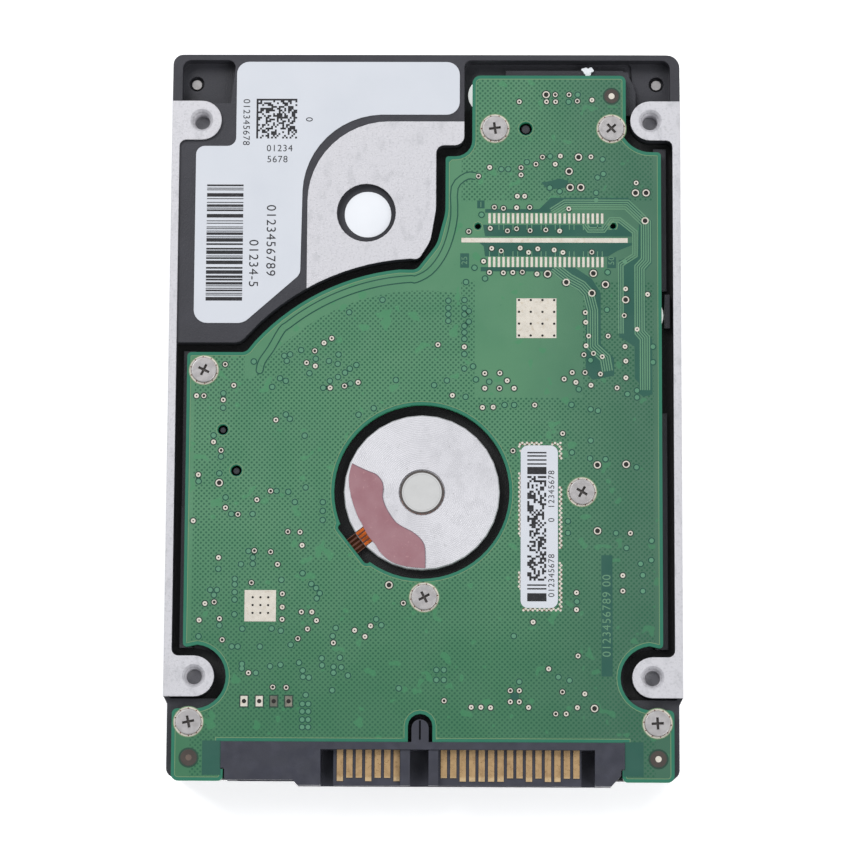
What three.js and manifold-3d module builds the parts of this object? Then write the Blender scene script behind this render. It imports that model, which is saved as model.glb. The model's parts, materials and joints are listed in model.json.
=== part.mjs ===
// A 2.5-inch hard disk drive with a SATA connector, lying on its cover with its circuit board up.
// Millimetres. +Z up, +Y away from the connector, +X to the right when the board is seen from above.
// Origin: the middle of the footprint, on the surface that the cover lies on.

import * as THREE from "three";
import { mergeVertices } from "three/addons/utils/BufferGeometryUtils.js";
import Module from "manifold-3d";

const wasm = await Module();
wasm.setup();

// ---- Driving dimensions -------------------------------------------------------------------------

// Outside sizes and mounting holes of the 2.5-inch form factor.
const WIDTH = 69.85;
const LENGTH = 100.45; // over the connector
const HEIGHT = 9.5;
const MOUNT_HALF_SPACING = 30.86;
const MOUNT_FROM_END = [14.0, 90.6];
const SIDE_HOLE_DROP = 3.0;
const M3_TAP_RADIUS = 1.25;

const SIDE = WIDTH / 2;
const FAR_END = 49.775;
const NEAR_END = -49.7; // the casting stops short of the board's near corners
const BOARD_END = -50.175; // near edge of the board, which the mounting holes are measured from
const CONNECTOR_END = FAR_END - LENGTH;
const MOUNT_Y = MOUNT_FROM_END.map((d) => BOARD_END + d);

// Axes of the two moving assemblies.
const MOTOR = [-0.3, -11.0];
const PIVOT = [-8.1, 27.5];
const LATCH = [-24.0, 17.5];
const PARKED = -23.8; // direction of the arm on the ramp, in degrees from +X

// Levels, from the cover's outer face at 0 to the mounting face at 9.5.
const COVER_SKIN = 0.5;
const FLANGE = [0.6, 1.1];
const RIM = 1.4; // end of the casting's wall, under the gasket
const WELL_FLOOR = 5.9;
const BAY_FLOOR = 7.8;
const RECESS = 6.9; // casting surface under the circuit board
const BOARD = [8.25, 9.05];
const COATED = 9.2; // casting surface under the big label
const PLATEAU = 9.3; // machined pad around the pivot
const PLATTER = [3.0, 3.635];
const MID_PLANE = (PLATTER[0] + PLATTER[1]) / 2;

const PLATTER_RADIUS = 32.5;
const WELL_RADIUS = 32.9;
const ROUND = 32; // sides of a round piece
const THREAD_SIDES = 10; // sides of a screw's shank and of the hole that it fills
const CUT = 1; // how far a cutting tool runs past the face that it cuts

// ---- Materials ----------------------------------------------------------------------------------

function finish(color, roughness, metalness) {
  return new THREE.MeshStandardMaterial({ color, roughness, metalness });
}

const COATED_CASTING = finish(0x36363b, 0.5, 0.3);
const ALUMINIUM = finish(0xc9cace, 0.4, 0.9);
const STEEL = finish(0xb4b2b0, 0.35, 0.95);
const MIRROR_DISK = finish(0xdadada, 0.05, 1.0);
const MAGNET = finish(0x9a9a98, 0.3, 1.0);
const COPPER = finish(0xb8683a, 0.4, 0.9);
const GOLD = finish(0xc9a063, 0.35, 0.9);
const BOARD_GREEN = finish(0x3e7f5c, 0.45, 0.0);
const BLACK_PLASTIC = finish(0x33343b, 0.55, 0.0);
const PALE_PLASTIC = finish(0xd8d2bd, 0.5, 0.0);
const RUBBER = finish(0x1b1b1b, 0.8, 0.0);
const PAPER = finish(0xd6dae3, 0.5, 0.0);
const FLEX = finish(0xa0727a, 0.5, 0.0);

// ---- Making solids ------------------------------------------------------------------------------

function solidOf(geometry) {
  const bare = geometry.index ? geometry.toNonIndexed() : geometry.clone();
  bare.deleteAttribute("normal");
  bare.deleteAttribute("uv");
  const merged = mergeVertices(bare, 1e-4);
  return new wasm.Manifold(
    new wasm.Mesh({
      numProp: 3,
      vertProperties: merged.attributes.position.array,
      triVerts: new Uint32Array(merged.index.array),
    }),
  );
}

function geometryOf(solid) {
  const mesh = solid.getMesh();
  const geometry = new THREE.BufferGeometry();
  geometry.setAttribute("position", new THREE.BufferAttribute(mesh.vertProperties, 3));
  geometry.setIndex(new THREE.BufferAttribute(mesh.triVerts, 1));
  geometry.computeVertexNormals();
  return geometry;
}

const radians = THREE.MathUtils.degToRad;

// The point at a distance and a direction in degrees from a centre.
function polar([x, y], radius, degrees) {
  return [x + radius * Math.cos(radians(degrees)), y + radius * Math.sin(radians(degrees))];
}

// Corners along an arc, for use inside an outline.
function arc(centre, radius, from, to, steps) {
  return Array.from({ length: steps + 1 }, (_, i) =>
    polar(centre, radius, from + ((to - from) * i) / steps),
  );
}

// A closed shape through [x, y, radius] corners, each rounded to its radius.
function outline(corners) {
  const shape = new THREE.Shape();
  corners.forEach(([x, y, radius = 0], i) => {
    const [px, py] = corners[(i + corners.length - 1) % corners.length];
    const [nx, ny] = corners[(i + 1) % corners.length];
    const here = new THREE.Vector2(x, y);
    const back = new THREE.Vector2(px - x, py - y).normalize();
    const ahead = new THREE.Vector2(nx - x, ny - y).normalize();
    const start = i ? "lineTo" : "moveTo";
    if (!radius) {
      shape[start](x, y);
      return;
    }
    const half = Math.acos(THREE.MathUtils.clamp(back.dot(ahead), -1, 1)) / 2;
    const run = radius / Math.tan(half);
    const centre = back.clone().add(ahead).normalize().multiplyScalar(radius / Math.sin(half)).add(here);
    const first = here.clone().addScaledVector(back, run).sub(centre);
    const last = here.clone().addScaledVector(ahead, run).sub(centre);
    shape[start](centre.x + first.x, centre.y + first.y);
    const turn = first.angle() - last.angle();
    const clockwise = ((turn + 2 * Math.PI) % (2 * Math.PI)) < Math.PI;
    shape.absarc(centre.x, centre.y, radius, first.angle(), last.angle(), clockwise);
  });
  return shape;
}

function plate(shape, low, high, curveSegments = 3) {
  const options = { depth: high - low, bevelEnabled: false, curveSegments };
  const geometry = new THREE.ExtrudeGeometry(shape, options);
  return solidOf(geometry.translate(0, 0, low));
}

function block(x0, x1, y0, y1, z0, z1) {
  const geometry = new THREE.BoxGeometry(x1 - x0, y1 - y0, z1 - z0);
  return solidOf(geometry.translate((x0 + x1) / 2, (y0 + y1) / 2, (z0 + z1) / 2));
}

function disc([x, y], radius, low, high, sides = ROUND, topRadius = radius) {
  const geometry = new THREE.CylinderGeometry(topRadius, radius, high - low, sides);
  return solidOf(geometry.rotateX(Math.PI / 2).translate(x, y, (low + high) / 2));
}

// A solid of revolution about a vertical axis, from a closed [radius, z] profile.
function turned([x, y], profile, sides = ROUND) {
  const points = profile.map(([radius, z]) => new THREE.Vector2(radius, z));
  if (profile[0][0] > 0) points.push(points[0].clone());
  const geometry = new THREE.LatheGeometry(points, sides);
  const solid = solidOf(geometry.rotateX(Math.PI / 2).translate(x, y, 0));
  if (solid.volume() < 0) throw new Error("a turned profile runs the wrong way round");
  return solid;
}

// A ring with a square section, its profile turned anticlockwise.
function ring(centre, inner, outer, low, high, sides = ROUND) {
  return turned(centre, [[inner, low], [outer, low], [outer, high], [inner, high]], sides);
}

// Part of a flat ring between two directions, in degrees.
function sector(centre, inner, outer, from, to, steps = 10) {
  return outline([...arc(centre, outer, from, to, steps), ...arc(centre, inner, to, from, steps)]);
}

function joined(solids) {
  return solids.reduce((all, one) => all.add(one));
}

const drive = new THREE.Group();

function addPart(name, solid, material, parent = drive) {
  const mesh = new THREE.Mesh(geometryOf(solid), material);
  mesh.name = name;
  parent.add(mesh);
}

// ---- Where the fasteners are --------------------------------------------------------------------

const BOARD_SCREWS = [
  [9.5, 39.4], [25.5, 39.4], [-30.1, 5.6], [21.4, -11.0], [0.1, -25.4], [-31.5, -42.3], [31.5, -42.3],
];
const BOARD_SCREW = { head: 1.73, shank: 0.75, top: 9.45, tip: 6.4 };

// The two at the far corners come through the casting; the others end inside it.
const COVER_SCREWS = [
  { at: [-31.8, 46.1], tip: 6.7 },
  { at: [31.8, 46.1], tip: 6.7 },
  { at: [-31.8, 6.0], tip: 4.6 },
  { at: [31.8, 5.0], tip: 4.6 },
  { at: [-31.5, -46.6], tip: 4.6 },
  { at: [31.5, -46.6], tip: 4.6 },
];
const COVER_SCREW = { head: 1.5, shank: 0.7, low: 0.1 };

const SERVO_PORT = { at: [8.3, 44.6], radius: 1.8, seal: 2.5 };
const BREATHER_PORT = { at: [29.7, 13.7], radius: 0.6, seal: 2.95 };
const HEAD_SLOT = [8.9, 24.1, 21.6, 26.2]; // x and y range of the opening for the head connector
const LOCATING_POSTS = [
  { at: [13.75, 39.4], radius: 0.6 },
  { at: [-27.4, -2.6], radius: 0.4 },
  { at: [-25.5, -8.2], radius: 0.45 },
];

// ---- Casting ------------------------------------------------------------------------------------

const BOSS_RADIUS = 2.75;
const RAIL = 1.05; // width of the machined strip along each side
const MOUNTS = [-1, 1].flatMap((side) =>
  MOUNT_Y.map((y) => ({ side, at: [side * MOUNT_HALF_SPACING, y] })),
);

// Plan of the actuator chamber beside the platter, grown by a margin.
function bayOutline(grow) {
  return outline([
    [-31.2 - grow, 10.6 - grow, 1.5], [31 + grow, 10.6 - grow, 1.5], [31 + grow, 35.8 + grow, 1.5],
    [26.8 + grow, 35.8 + grow, 0.5], [26.8 + grow, 47.4 + grow, 1.5], [-25.5 - grow, 47.4 + grow, 1.5],
    [-25.5 - grow, 36.8 + grow, 0.5], [-31.2 - grow, 36.8 + grow, 1.5],
  ]);
}

// The whole sealed chamber in plan, from one level to another.
function chamber(grow, low, high) {
  return disc(MOTOR, WELL_RADIUS + grow, low, high, 60).add(plate(bayOutline(grow), low, high));
}

// The pocket that the circuit board lies in. Its curved edge follows the platter well.
const RECESS_EDGE = 32.15;
const UNDER_RAIL = SIDE - RAIL + 0.3;
const recessOutline = outline([
  [-UNDER_RAIL, -39.1], [-UNDER_RAIL, 9.4], [-25.2, 9.4, 2],
  ...arc(MOTOR, RECESS_EDGE, 134, 93, 12), [-0.9, 21, 1], [0.7, 23.6, 4], [1.45, 28, 6], [1.45, 37, 1.1],
  [5.3, 37, 1.3], [5.3, 49, 0.9], [28.3, 49, 0.6], [28.5, 44.5, 1.5], [29.4, 42.4], [31, 37.9],
  [UNDER_RAIL, 37.9], [UNDER_RAIL, -39.1],
]);

// The pad reaches into the pocket here, and the pocket then trims it.
const plateauOutline = outline([
  [-16.2, 14], [8, 14], [8, 40.35], ...arc([-5, 29.15], 11.2, 90, 180, 12),
]);

// The machined strip along one side, with a round-ended boss at each mounting hole.
function sideRail(side) {
  const [near, far] = MOUNTS.filter((mount) => mount.side === side).map((mount) => mount.at);
  const inner = side * (SIDE - RAIL);
  const roundEnd = (centre) => arc(centre, BOSS_RADIUS, -90, side < 0 ? 90 : -270, 14);
  const shape = outline([
    [side * SIDE, near[1] - BOSS_RADIUS], ...roundEnd(near),
    [inner, near[1] + BOSS_RADIUS, 0.9], [inner, far[1] - BOSS_RADIUS, 0.9],
    ...roundEnd(far), [side * SIDE, far[1] + BOSS_RADIUS],
  ]);
  return plate(shape, RECESS - CUT, HEIGHT);
}

// Ledges in the pocket, under the board's edges, and the low wall beside its far tab.
const LEDGE = 7.9;
const LEDGES = [
  { x: [-32.95, -31.3], y: [-13, 8.4], top: LEDGE },
  { x: [-32.95, -31.3], y: [-32.3, -13], top: BOARD[0] - 0.1 },
  { x: [31.3, 33.05], y: [-32.3, 0], top: LEDGE },
  { x: [31.3, 33.05], y: [16.9, 36.8], top: LEDGE },
  { x: [32.75, 33.5], y: [11.7, 16.4], top: BOARD[0] - 0.1 },
  { x: [11, 27.2], y: [45.7, 47.9], top: LEDGE },
];
const tabWall = outline([
  [27.2, 41.5], [27.2, 47.7], [27.9, 47.7], [28.1, 46.8], [28.6, 45.8], [28.9, 44.8], [29, 41.5],
]);
const tabWallCut = outline([[27.9, 41.2], [27.9, 49], [30.5, 49], [30.5, 41.2]]);

// The hollow that each far corner has around the tip of its cover screw.
function cornerPocket(side) {
  return outline([
    [side * 33.6, 42.9, 0.4], [side * 33.6, 49, 1.2], [side * (side < 0 ? 26.2 : 28), 49, side < 0 ? 1 : 0],
    [side * (side < 0 ? 26.9 : 28), 42.9],
  ]);
}

const CONNECTOR_BAY = { half: 27.3, y: -44.9, z: 4.3 };
const DATUM_CORNER = 8.2; // level of the two corners beside the connector
const WAIST = 34.475; // half width of the casting beside the connector

function baseCasting() {
  const bossEnd = MOUNT_Y[0] - BOSS_RADIUS;
  const body = outline([
    [-WAIST, NEAR_END, 1.2], [WAIST, NEAR_END, 1.2], [WAIST, bossEnd - 0.9], [SIDE, bossEnd],
    [SIDE, FAR_END, 1.8], [-SIDE, FAR_END, 1.4], [-SIDE, bossEnd], [-WAIST, bossEnd - 0.9],
  ]);
  let base = plate(body, RIM, COATED).add(plate(plateauOutline, COATED - CUT, PLATEAU));

  // Board side: sink the pockets, then stand the machined strips and bosses in them.
  base = base.subtract(plate(recessOutline, RECESS, HEIGHT));
  base = base.subtract(block(-SIDE - CUT, SIDE + CUT, NEAR_END - CUT, -38.7, DATUM_CORNER, HEIGHT));
  base = base.subtract(block(-27.3, 27.3, -44.9, -39, RECESS, HEIGHT));
  base = base.subtract(plate(tabWallCut, LEDGE, HEIGHT));
  for (const side of [-1, 1]) base = base.subtract(plate(cornerPocket(side), 7.2, HEIGHT));
  base = base.add(plate(tabWall, RECESS - CUT / 2, LEDGE));
  for (const { x, y, top } of LEDGES) base = base.add(block(...x, ...y, RECESS - CUT / 2, top));
  base = base.add(sideRail(-1)).add(sideRail(1));

  // Posts that the board is screwed down on, and pins that it is located by.
  for (const at of BOARD_SCREWS) base = base.add(disc(at, 1.9, RECESS - CUT / 2, BOARD[0], 16));
  for (const { at, radius } of LOCATING_POSTS) base = base.add(disc(at, radius, RECESS - CUT / 2, 8.6, 10));

  // Cover side: the platter well and the two depths of the actuator bay.
  base = base.subtract(chamber(0, RIM - CUT, WELL_FLOOR));
  const deep = plate(bayOutline(0), RIM - CUT, BAY_FLOOR)
    .subtract(block(-0.6, SIDE, 0, FAR_END, 0, HEIGHT))
    .subtract(disc(MOTOR, RECESS_EDGE + 1.1, 0, HEIGHT, 60));
  base = base.subtract(deep);
  for (const at of YOKE_POSTS) base = base.add(disc(at, 1.6, YOKE_BOARD[1], BAY_FLOOR + CUT / 2, 12));

  // The connector's place at the end, and the holes.
  const { half, y, z } = CONNECTOR_BAY;
  base = base.subtract(block(-half, half, NEAR_END - CUT, y, z, HEIGHT + CUT));
  base = base.subtract(disc(MOTOR, MOTOR_BASE.rim, WELL_FLOOR - CUT, RECESS + CUT));
  base = base.subtract(disc(PIVOT, 4.05, 8.4, HEIGHT + CUT)).subtract(disc(PIVOT, 1.2, BAY_FLOOR - CUT, 9));
  base = base.subtract(disc(LATCH, 0.6, BAY_FLOOR - CUT, BAY_FLOOR + 0.7, 10));
  base = base.subtract(disc(SERVO_PORT.at, SERVO_PORT.radius, WELL_FLOOR - CUT, RECESS + CUT, 16));
  base = base.subtract(disc(BREATHER_PORT.at, BREATHER_PORT.radius, WELL_FLOOR - CUT, RECESS + CUT, 10));
  const [x0, x1, y0, y1] = HEAD_SLOT;
  base = base.subtract(block(x0, x1, y0, y1, WELL_FLOOR - CUT, RECESS + CUT));
  for (const at of BOARD_SCREWS) {
    base = base.subtract(disc(at, BOARD_SCREW.shank, BOARD_SCREW.tip, HEIGHT, THREAD_SIDES));
  }
  for (const { at, tip } of COVER_SCREWS) {
    const through = tip > WELL_FLOOR;
    const end = through ? HEIGHT : tip + 0.2;
    base = base.subtract(disc(at, COVER_SCREW.shank, RIM - CUT, end, THREAD_SIDES));
    if (through) base = base.subtract(disc(at, 1.05, 6.2, HEIGHT, 16));
  }
  for (const { side, at } of MOUNTS) {
    base = base.subtract(disc(at, M3_TAP_RADIUS, HEIGHT - 3, HEIGHT + CUT, 16));
    base = base.subtract(disc(at, M3_TAP_RADIUS, HEIGHT - 0.35, HEIGHT + 0.05, 16, M3_TAP_RADIUS + 0.4));
    const tapped = new THREE.CylinderGeometry(M3_TAP_RADIUS, M3_TAP_RADIUS, 5, 16).rotateZ(Math.PI / 2);
    base = base.subtract(solidOf(tapped.translate(side * (SIDE - 0.1), at[1], HEIGHT - SIDE_HOLE_DROP)));
  }
  return base;
}

// ---- Cover, gasket and their screws -------------------------------------------------------------

const COVER_LABEL = outline([[-26, -44, 1.5], [26, -44, 1.5], [26, 23, 1.5], [-26, 23, 1.5]]);
const LABEL_SINK = 0.1;

function topCover() {
  const edge = outline([[-34.3, -49.3, 1.5], [34.3, -49.3, 1.5], [34.3, 49.4, 2], [-34.3, 49.4, 2]]);
  const pan = chamber(0.35, 0, FLANGE[0] + 0.1);
  let cover = plate(edge, ...FLANGE).add(pan).subtract(chamber(-0.25, COVER_SKIN, FLANGE[1] + CUT));
  cover = cover.subtract(plate(COVER_LABEL, -CUT, LABEL_SINK));
  for (const { at } of COVER_SCREWS) {
    cover = cover.subtract(disc(at, COVER_SCREW.shank, -CUT, 2, THREAD_SIDES));
  }
  return cover
    .subtract(disc(PIVOT, 2.3, -CUT, 0.3, 24))
    .subtract(disc(PIVOT, PIVOT_SCREW.shank, -CUT, 2, THREAD_SIDES));
}

function coverGasket() {
  let gasket = chamber(1.0, FLANGE[1], RIM).subtract(chamber(0.3, 0, HEIGHT));
  for (const { at } of COVER_SCREWS) gasket = gasket.subtract(disc(at, 1.2, 0, HEIGHT, 12));
  return gasket;
}

// A pan-head screw with its head at the low end and a six-lobed socket, for the cover.
function coverScrew(at, tip) {
  const { head, shank, low } = COVER_SCREW;
  return disc(at, head, low, FLANGE[0], 20)
    .add(disc(at, shank, FLANGE[0] - 0.1, tip, THREAD_SIDES))
    .subtract(disc(at, head * 0.42, low - CUT, low + 0.3, 6));
}

const PIVOT_SCREW = { head: 2.2, shank: 0.9, low: 0.05, tip: 3.4 };

function pivotScrew() {
  const { head, shank, low, tip } = PIVOT_SCREW;
  return disc(PIVOT, head, low, 0.3, 20)
    .add(disc(PIVOT, shank, 0.2, tip, THREAD_SIDES))
    .subtract(disc(PIVOT, 0.8, low - CUT, low + 0.2, 6));
}

// ---- Circuit board ------------------------------------------------------------------------------

const BOARD_CUTOUT = 11.9;
const boardOutline = outline([
  [-32.4, 8.1, 0.6], [-24.4, 8.1, 1.2], ...arc(MOTOR, 30.8, 138, 96, 14), [-1.2, 19.6, 1.2], [1.6, 23.2, 4],
  [2.75, 27.6, 6], [2.75, 35.5, 0.4], [6.4, 35.5, 2.3], [6.4, 46.9, 1.1],
  [27.5, 46.9, 0.8], [27.5, 39.5, 0.5],
  ...arc([31, 40.5], 4.4, 200, 262, 8), [32.3, 36.1, 0.5], [32.3, -32.3, 0.5],
  ...arc([30.9, -36.2], 4.35, 96, 264, 16), [33.75, -40.5, 0.7], [33.75, BOARD_END, 0.9],
  [26.8, BOARD_END, 0.7],
  [26.8, -48.6], [27.3, -48.6], [27.3, -44.9], [1.3, -44.9], ...arc([-0.35, -42.75], 1.65, 0, 180, 8),
  [-2, -44.9], [-27.3, -44.9], [-27.3, -48.6], [-26.8, -48.6], [-26.8, BOARD_END, 0.7],
  [-33.75, BOARD_END, 0.9],
  [-33.75, -40.5, 0.7], ...arc([-30.9, -36.2], 4.35, -84, 84, 16), [-32.4, -32.3, 0.5],
].reverse());

// The straight notch in the motor cut-out, where the motor's flexible circuit passes under.
const FLEX_DIRECTION = 218;

function circuitBoard() {
  let board = plate(boardOutline, ...BOARD).subtract(disc(MOTOR, BOARD_CUTOUT, 0, HEIGHT, 60));
  const notch = outline([
    [...polar(MOTOR, 12.55, FLEX_DIRECTION - 16), 0.5], [...polar(MOTOR, 12.55, FLEX_DIRECTION + 16), 0.5],
    polar(MOTOR, 8, FLEX_DIRECTION + 16), polar(MOTOR, 8, FLEX_DIRECTION - 16),
  ]);
  board = board.subtract(plate(notch, 0, HEIGHT));
  for (const at of BOARD_SCREWS) board = board.subtract(disc(at, BOARD_SCREW.shank + 0.2, 0, HEIGHT, 12));
  for (const { at, radius } of LOCATING_POSTS) {
    board = board.subtract(disc(at, radius + 0.3, 0, HEIGHT, 12));
  }
  for (const at of [[7.2, 25.7], [25.7, 25.8]]) board = board.subtract(disc(at, 0.45, 0, HEIGHT, 8));
  return board;
}

function boardInsulator() {
  let foam = block(-31, 31, -38.6, 7, RECESS, RECESS + 0.25)
    .add(block(-26.8, 26.8, -42.6, -38, RECESS, RECESS + 0.25))
    .add(block(3.4, 31, 6, 33.5, RECESS, RECESS + 0.25))
    .subtract(disc(MOTOR, 13.2, 0, HEIGHT));
  for (const at of BOARD_SCREWS) foam = foam.subtract(disc(at, 2.3, 0, HEIGHT, 14));
  for (const { at } of LOCATING_POSTS) foam = foam.subtract(disc(at, 1.2, 0, HEIGHT, 12));
  for (const { at } of MOUNTS) foam = foam.subtract(disc(at, 4, 0, HEIGHT, 16));
  foam = foam.subtract(disc(BREATHER_PORT.at, 3.3, 0, HEIGHT, 16));
  const [x0, x1, y0, y1] = HEAD_SLOT;
  return foam.subtract(block(x0 - 0.5, x1 + 0.5, y0 - 0.5, y1 + 0.5, 0, HEIGHT));
}

// A flat-headed screw with a cross recess, head up.
function boardScrew(at) {
  const { head, shank, top, tip } = BOARD_SCREW;
  const [x, y] = at;
  const cross = block(x - 0.7, x + 0.7, y - 0.14, y + 0.14, top - 0.25, top + CUT)
    .add(block(x - 0.14, x + 0.14, y - 0.7, y + 0.7, top - 0.25, top + CUT));
  return disc(at, head, BOARD[1], top - 0.1, 20)
    .add(disc(at, head, top - 0.1, top, 20, head - 0.12))
    .add(disc(at, shank, tip, BOARD[1] + 0.1, THREAD_SIDES))
    .subtract(cross);
}

function chip([x, y], width, length, thickness = 0.9) {
  const [w, l] = [width / 2, length / 2];
  return block(x - w, x + w, y - l, y + l, BOARD[0] - thickness, BOARD[0]);
}

// ---- Connector ----------------------------------------------------------------------------------

const CONTACT_PITCH = 1.27;
const CONTACT = { width: 0.84, back: -45.9, long: -50.1, short: -49.65, low: 8.1, high: 8.22 };
const SIGNAL = { first: -11.1, long: [1, 4, 7], count: 7 };
const POWER = { first: 2.85, long: [3, 4, 5, 6, 7, 10, 12, 13], count: 15 };
const JUMPER = { first: -24.05, pitch: 2.0, count: 4, width: 0.5, z: 6.7, tip: -49.6, back: -46.4 };
const SHELL = { low: 4.4, high: 9.2, front: CONNECTOR_END, bar: -45.9 };

// Contact strips on one face of a tongue, held together by the strip inside the housing.
function contactStrips({ first, long, count }) {
  const { width, back, low, high } = CONTACT;
  const last = first + (count - 1) * CONTACT_PITCH;
  const carrier = block(first - width / 2, last + width / 2, back, back + 0.4, low, high);
  const strips = Array.from({ length: count }, (_, i) => {
    const x = first + i * CONTACT_PITCH;
    const tip = long.includes(i + 1) ? CONTACT.long : CONTACT.short;
    return block(x - width / 2, x + width / 2, tip, back + 0.1, low, high);
  });
  return joined([carrier, ...strips]);
}

function jumperPins() {
  const { first, pitch, count, width, z, tip, back } = JUMPER;
  const half = width / 2;
  const last = first + (count - 1) * pitch;
  const carrier = block(first - half, last + half, back, back + 0.4, z - half, z + half);
  const pins = Array.from({ length: count }, (_, i) => {
    const x = first + i * pitch;
    return block(x - half, x + half, tip, back + 0.1, z - half, z + half);
  });
  return joined([carrier, ...pins]);
}

function connectorHousing() {
  const { low, high, front, bar } = SHELL;
  const leftBlock = outline([
    [-27.1, bar], [-27.1, -48.45], [-26.6, -48.45], [-26.6, -50, 0.3], [-17.4, -50], [-16.8, front],
    [-13.7, front, 0.2], [-13.7, bar],
  ]);
  const rightBlock = outline([
    [23.1, bar], [23.1, front, 0.2], [25.3, front], [26.6, -49.3], [26.6, -48.45], [27.1, -48.45],
    [27.1, bar],
  ]);
  const floor = outline([
    [-26.4, bar], [-26.4, -50, 0.3], [-17.4, -50], [-16.8, front], [25.3, front], [26.4, -49.4], [26.4, bar],
  ]);
  const postShape = outline([[-1.5, -45.2], ...arc([-0.35, -43], 1.15, 180, 0, 8), [0.8, -45.2]]);
  return joined([
    block(-27.1, 27.1, bar, CONNECTOR_BAY.y, low, high),
    plate(leftBlock, low, high),
    plate(rightBlock, low, high),
    plate(floor, low, low + 1.1),
    block(-12, -1.7, front, bar, 6.95, CONTACT.low),
    block(-3, -1.7, front, bar, 6.95, 9),
    block(0.8, 21.3, front, bar, 6.95, CONTACT.low),
    block(0.8, 2.1, front, bar, 6.95, 9),
    plate(postShape, BOARD[0] + 0.1, high),
  ])
    .subtract(block(-0.5, -0.25, -44.6, -42, 8.6, high + CUT))
    .subtract(block(-25.1, -17, front - CUT, JUMPER.back, 5.5, 8))
    .subtract(contactStrips(SIGNAL))
    .subtract(contactStrips(POWER))
    .subtract(jumperPins());
}

// ---- Spindle motor ------------------------------------------------------------------------------

const MOTOR_BASE = { rim: 10.6, face: [7.4, 8.2] };
const SLEEVE = { bore: 2.05, radius: 3.0, low: 3.5, high: 7.9 };
const SHAFT_RADIUS = 2.0;
const HUB = {
  low: 2.4, cap: 3.3, radius: 9.95,
  flange: 12.2, flangeTop: 4.4,
  skirt: [9.0, 9.6], skirtTop: 6.9,
};

// The stationary cup that carries the stator, pressed into the casting.
function motorBase() {
  const { rim, face: [low, high] } = MOTOR_BASE;
  return turned(MOTOR, [
    [SLEEVE.radius, 5.6], [4.1, 5.6], [4.1, low], [10, low],
    [10, WELL_FLOOR + 0.1], [rim, WELL_FLOOR + 0.1],
    [rim, high - 0.15], [rim - 0.15, high], [3.15, high], [3.15, 7.9], [SLEEVE.radius, 7.9],
  ]);
}

function spindleHub() {
  const { low, cap, radius, flange, flangeTop, skirt, skirtTop } = HUB;
  return turned(MOTOR, [
    [SHAFT_RADIUS, low], [radius, low], [radius, PLATTER[1]], [flange, PLATTER[1]], [flange, flangeTop],
    [skirt[1], flangeTop], [skirt[1], skirtTop], [skirt[0], skirtTop], [skirt[0], cap], [SHAFT_RADIUS, cap],
  ]);
}

// The shaft turns in the sleeve and is tapped for the clamp's screw.
function spindleShaft() {
  return disc(MOTOR, SHAFT_RADIUS, HUB.low, 7.8).subtract(disc(MOTOR, 1.2, 0, 4.4, 16));
}

const STATOR = { inner: 4.15, yoke: 5.2, tip: 7.9, low: 5.65, high: 6.85, teeth: 9 };

function statorCore() {
  const { inner, yoke, tip, low, high, teeth } = STATOR;
  let core = ring(MOTOR, inner, yoke, low, high);
  for (let i = 0; i < teeth; i++) {
    const direction = (360 / teeth) * i;
    const neck = outline([
      polar(MOTOR, yoke - 0.3, direction - 6), polar(MOTOR, tip - 0.3, direction - 4),
      polar(MOTOR, tip - 0.3, direction + 4), polar(MOTOR, yoke - 0.3, direction + 6),
    ]);
    const shoe = sector(MOTOR, tip - 0.5, tip, direction - 15, direction + 15, 4);
    core = core.add(plate(neck, low, high)).add(plate(shoe, low, high));
  }
  return core;
}

// The nine coils, each wound round its tooth, with the lead ring that joins them.
function statorWindings() {
  const { yoke, tip, low, high, teeth } = STATOR;
  const gap = 0.08;
  let wound = ring(MOTOR, yoke + 0.1, yoke + 0.5, high + gap, high + 0.35);
  for (let i = 0; i < teeth; i++) {
    const direction = (360 / teeth) * i;
    const coil = outline([
      polar(MOTOR, yoke + 0.1, direction - 14), polar(MOTOR, tip - 0.6, direction - 12),
      polar(MOTOR, tip - 0.6, direction + 12), polar(MOTOR, yoke + 0.1, direction + 14),
    ]);
    const core = outline([
      polar(MOTOR, yoke - 1, direction - 9), polar(MOTOR, tip, direction - 5.2),
      polar(MOTOR, tip, direction + 5.2), polar(MOTOR, yoke - 1, direction + 9),
    ]);
    wound = wound.add(plate(coil, low - 0.35, high + 0.35).subtract(plate(core, low - gap, high + gap)));
  }
  return wound;
}

// The motor's flexible circuit: a crescent on the motor's face with a tail under the board.
function motorFlex() {
  const [, face] = MOTOR_BASE.face;
  const crescent = sector(MOTOR, 5.7, 10, 154, 272, 20);
  const tail = outline([
    polar(MOTOR, 9, FLEX_DIRECTION - 8), polar(MOTOR, 9, FLEX_DIRECTION + 8),
    polar(MOTOR, 13.6, FLEX_DIRECTION + 5.4), polar(MOTOR, 13.6, FLEX_DIRECTION - 5.4),
  ]);
  return plate(crescent, face, face + 0.1).add(plate(tail, face, BOARD[0]));
}

// ---- Actuator -----------------------------------------------------------------------------------

const ARM = { thickness: 0.65, offset: 1.03, block: 5.2, length: 24 };
const COIL = { inner: 10.2, outer: 18.2, half: 24, low: MID_PLANE - 0.6, high: MID_PLANE + 0.6 };
const COIL_SIDE = 180; // the coil is opposite the arms
const HEAD_REACH = 34;
const BEAM = 0.15; // thickness of the spring steel

// Parts that swing are drawn with the pivot at the origin and the arm along +X.
const actuator = new THREE.Group();
actuator.position.set(PIVOT[0], PIVOT[1], 0);
actuator.rotation.z = radians(PARKED);
drive.add(actuator);
const AXIS = [0, 0];

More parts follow.
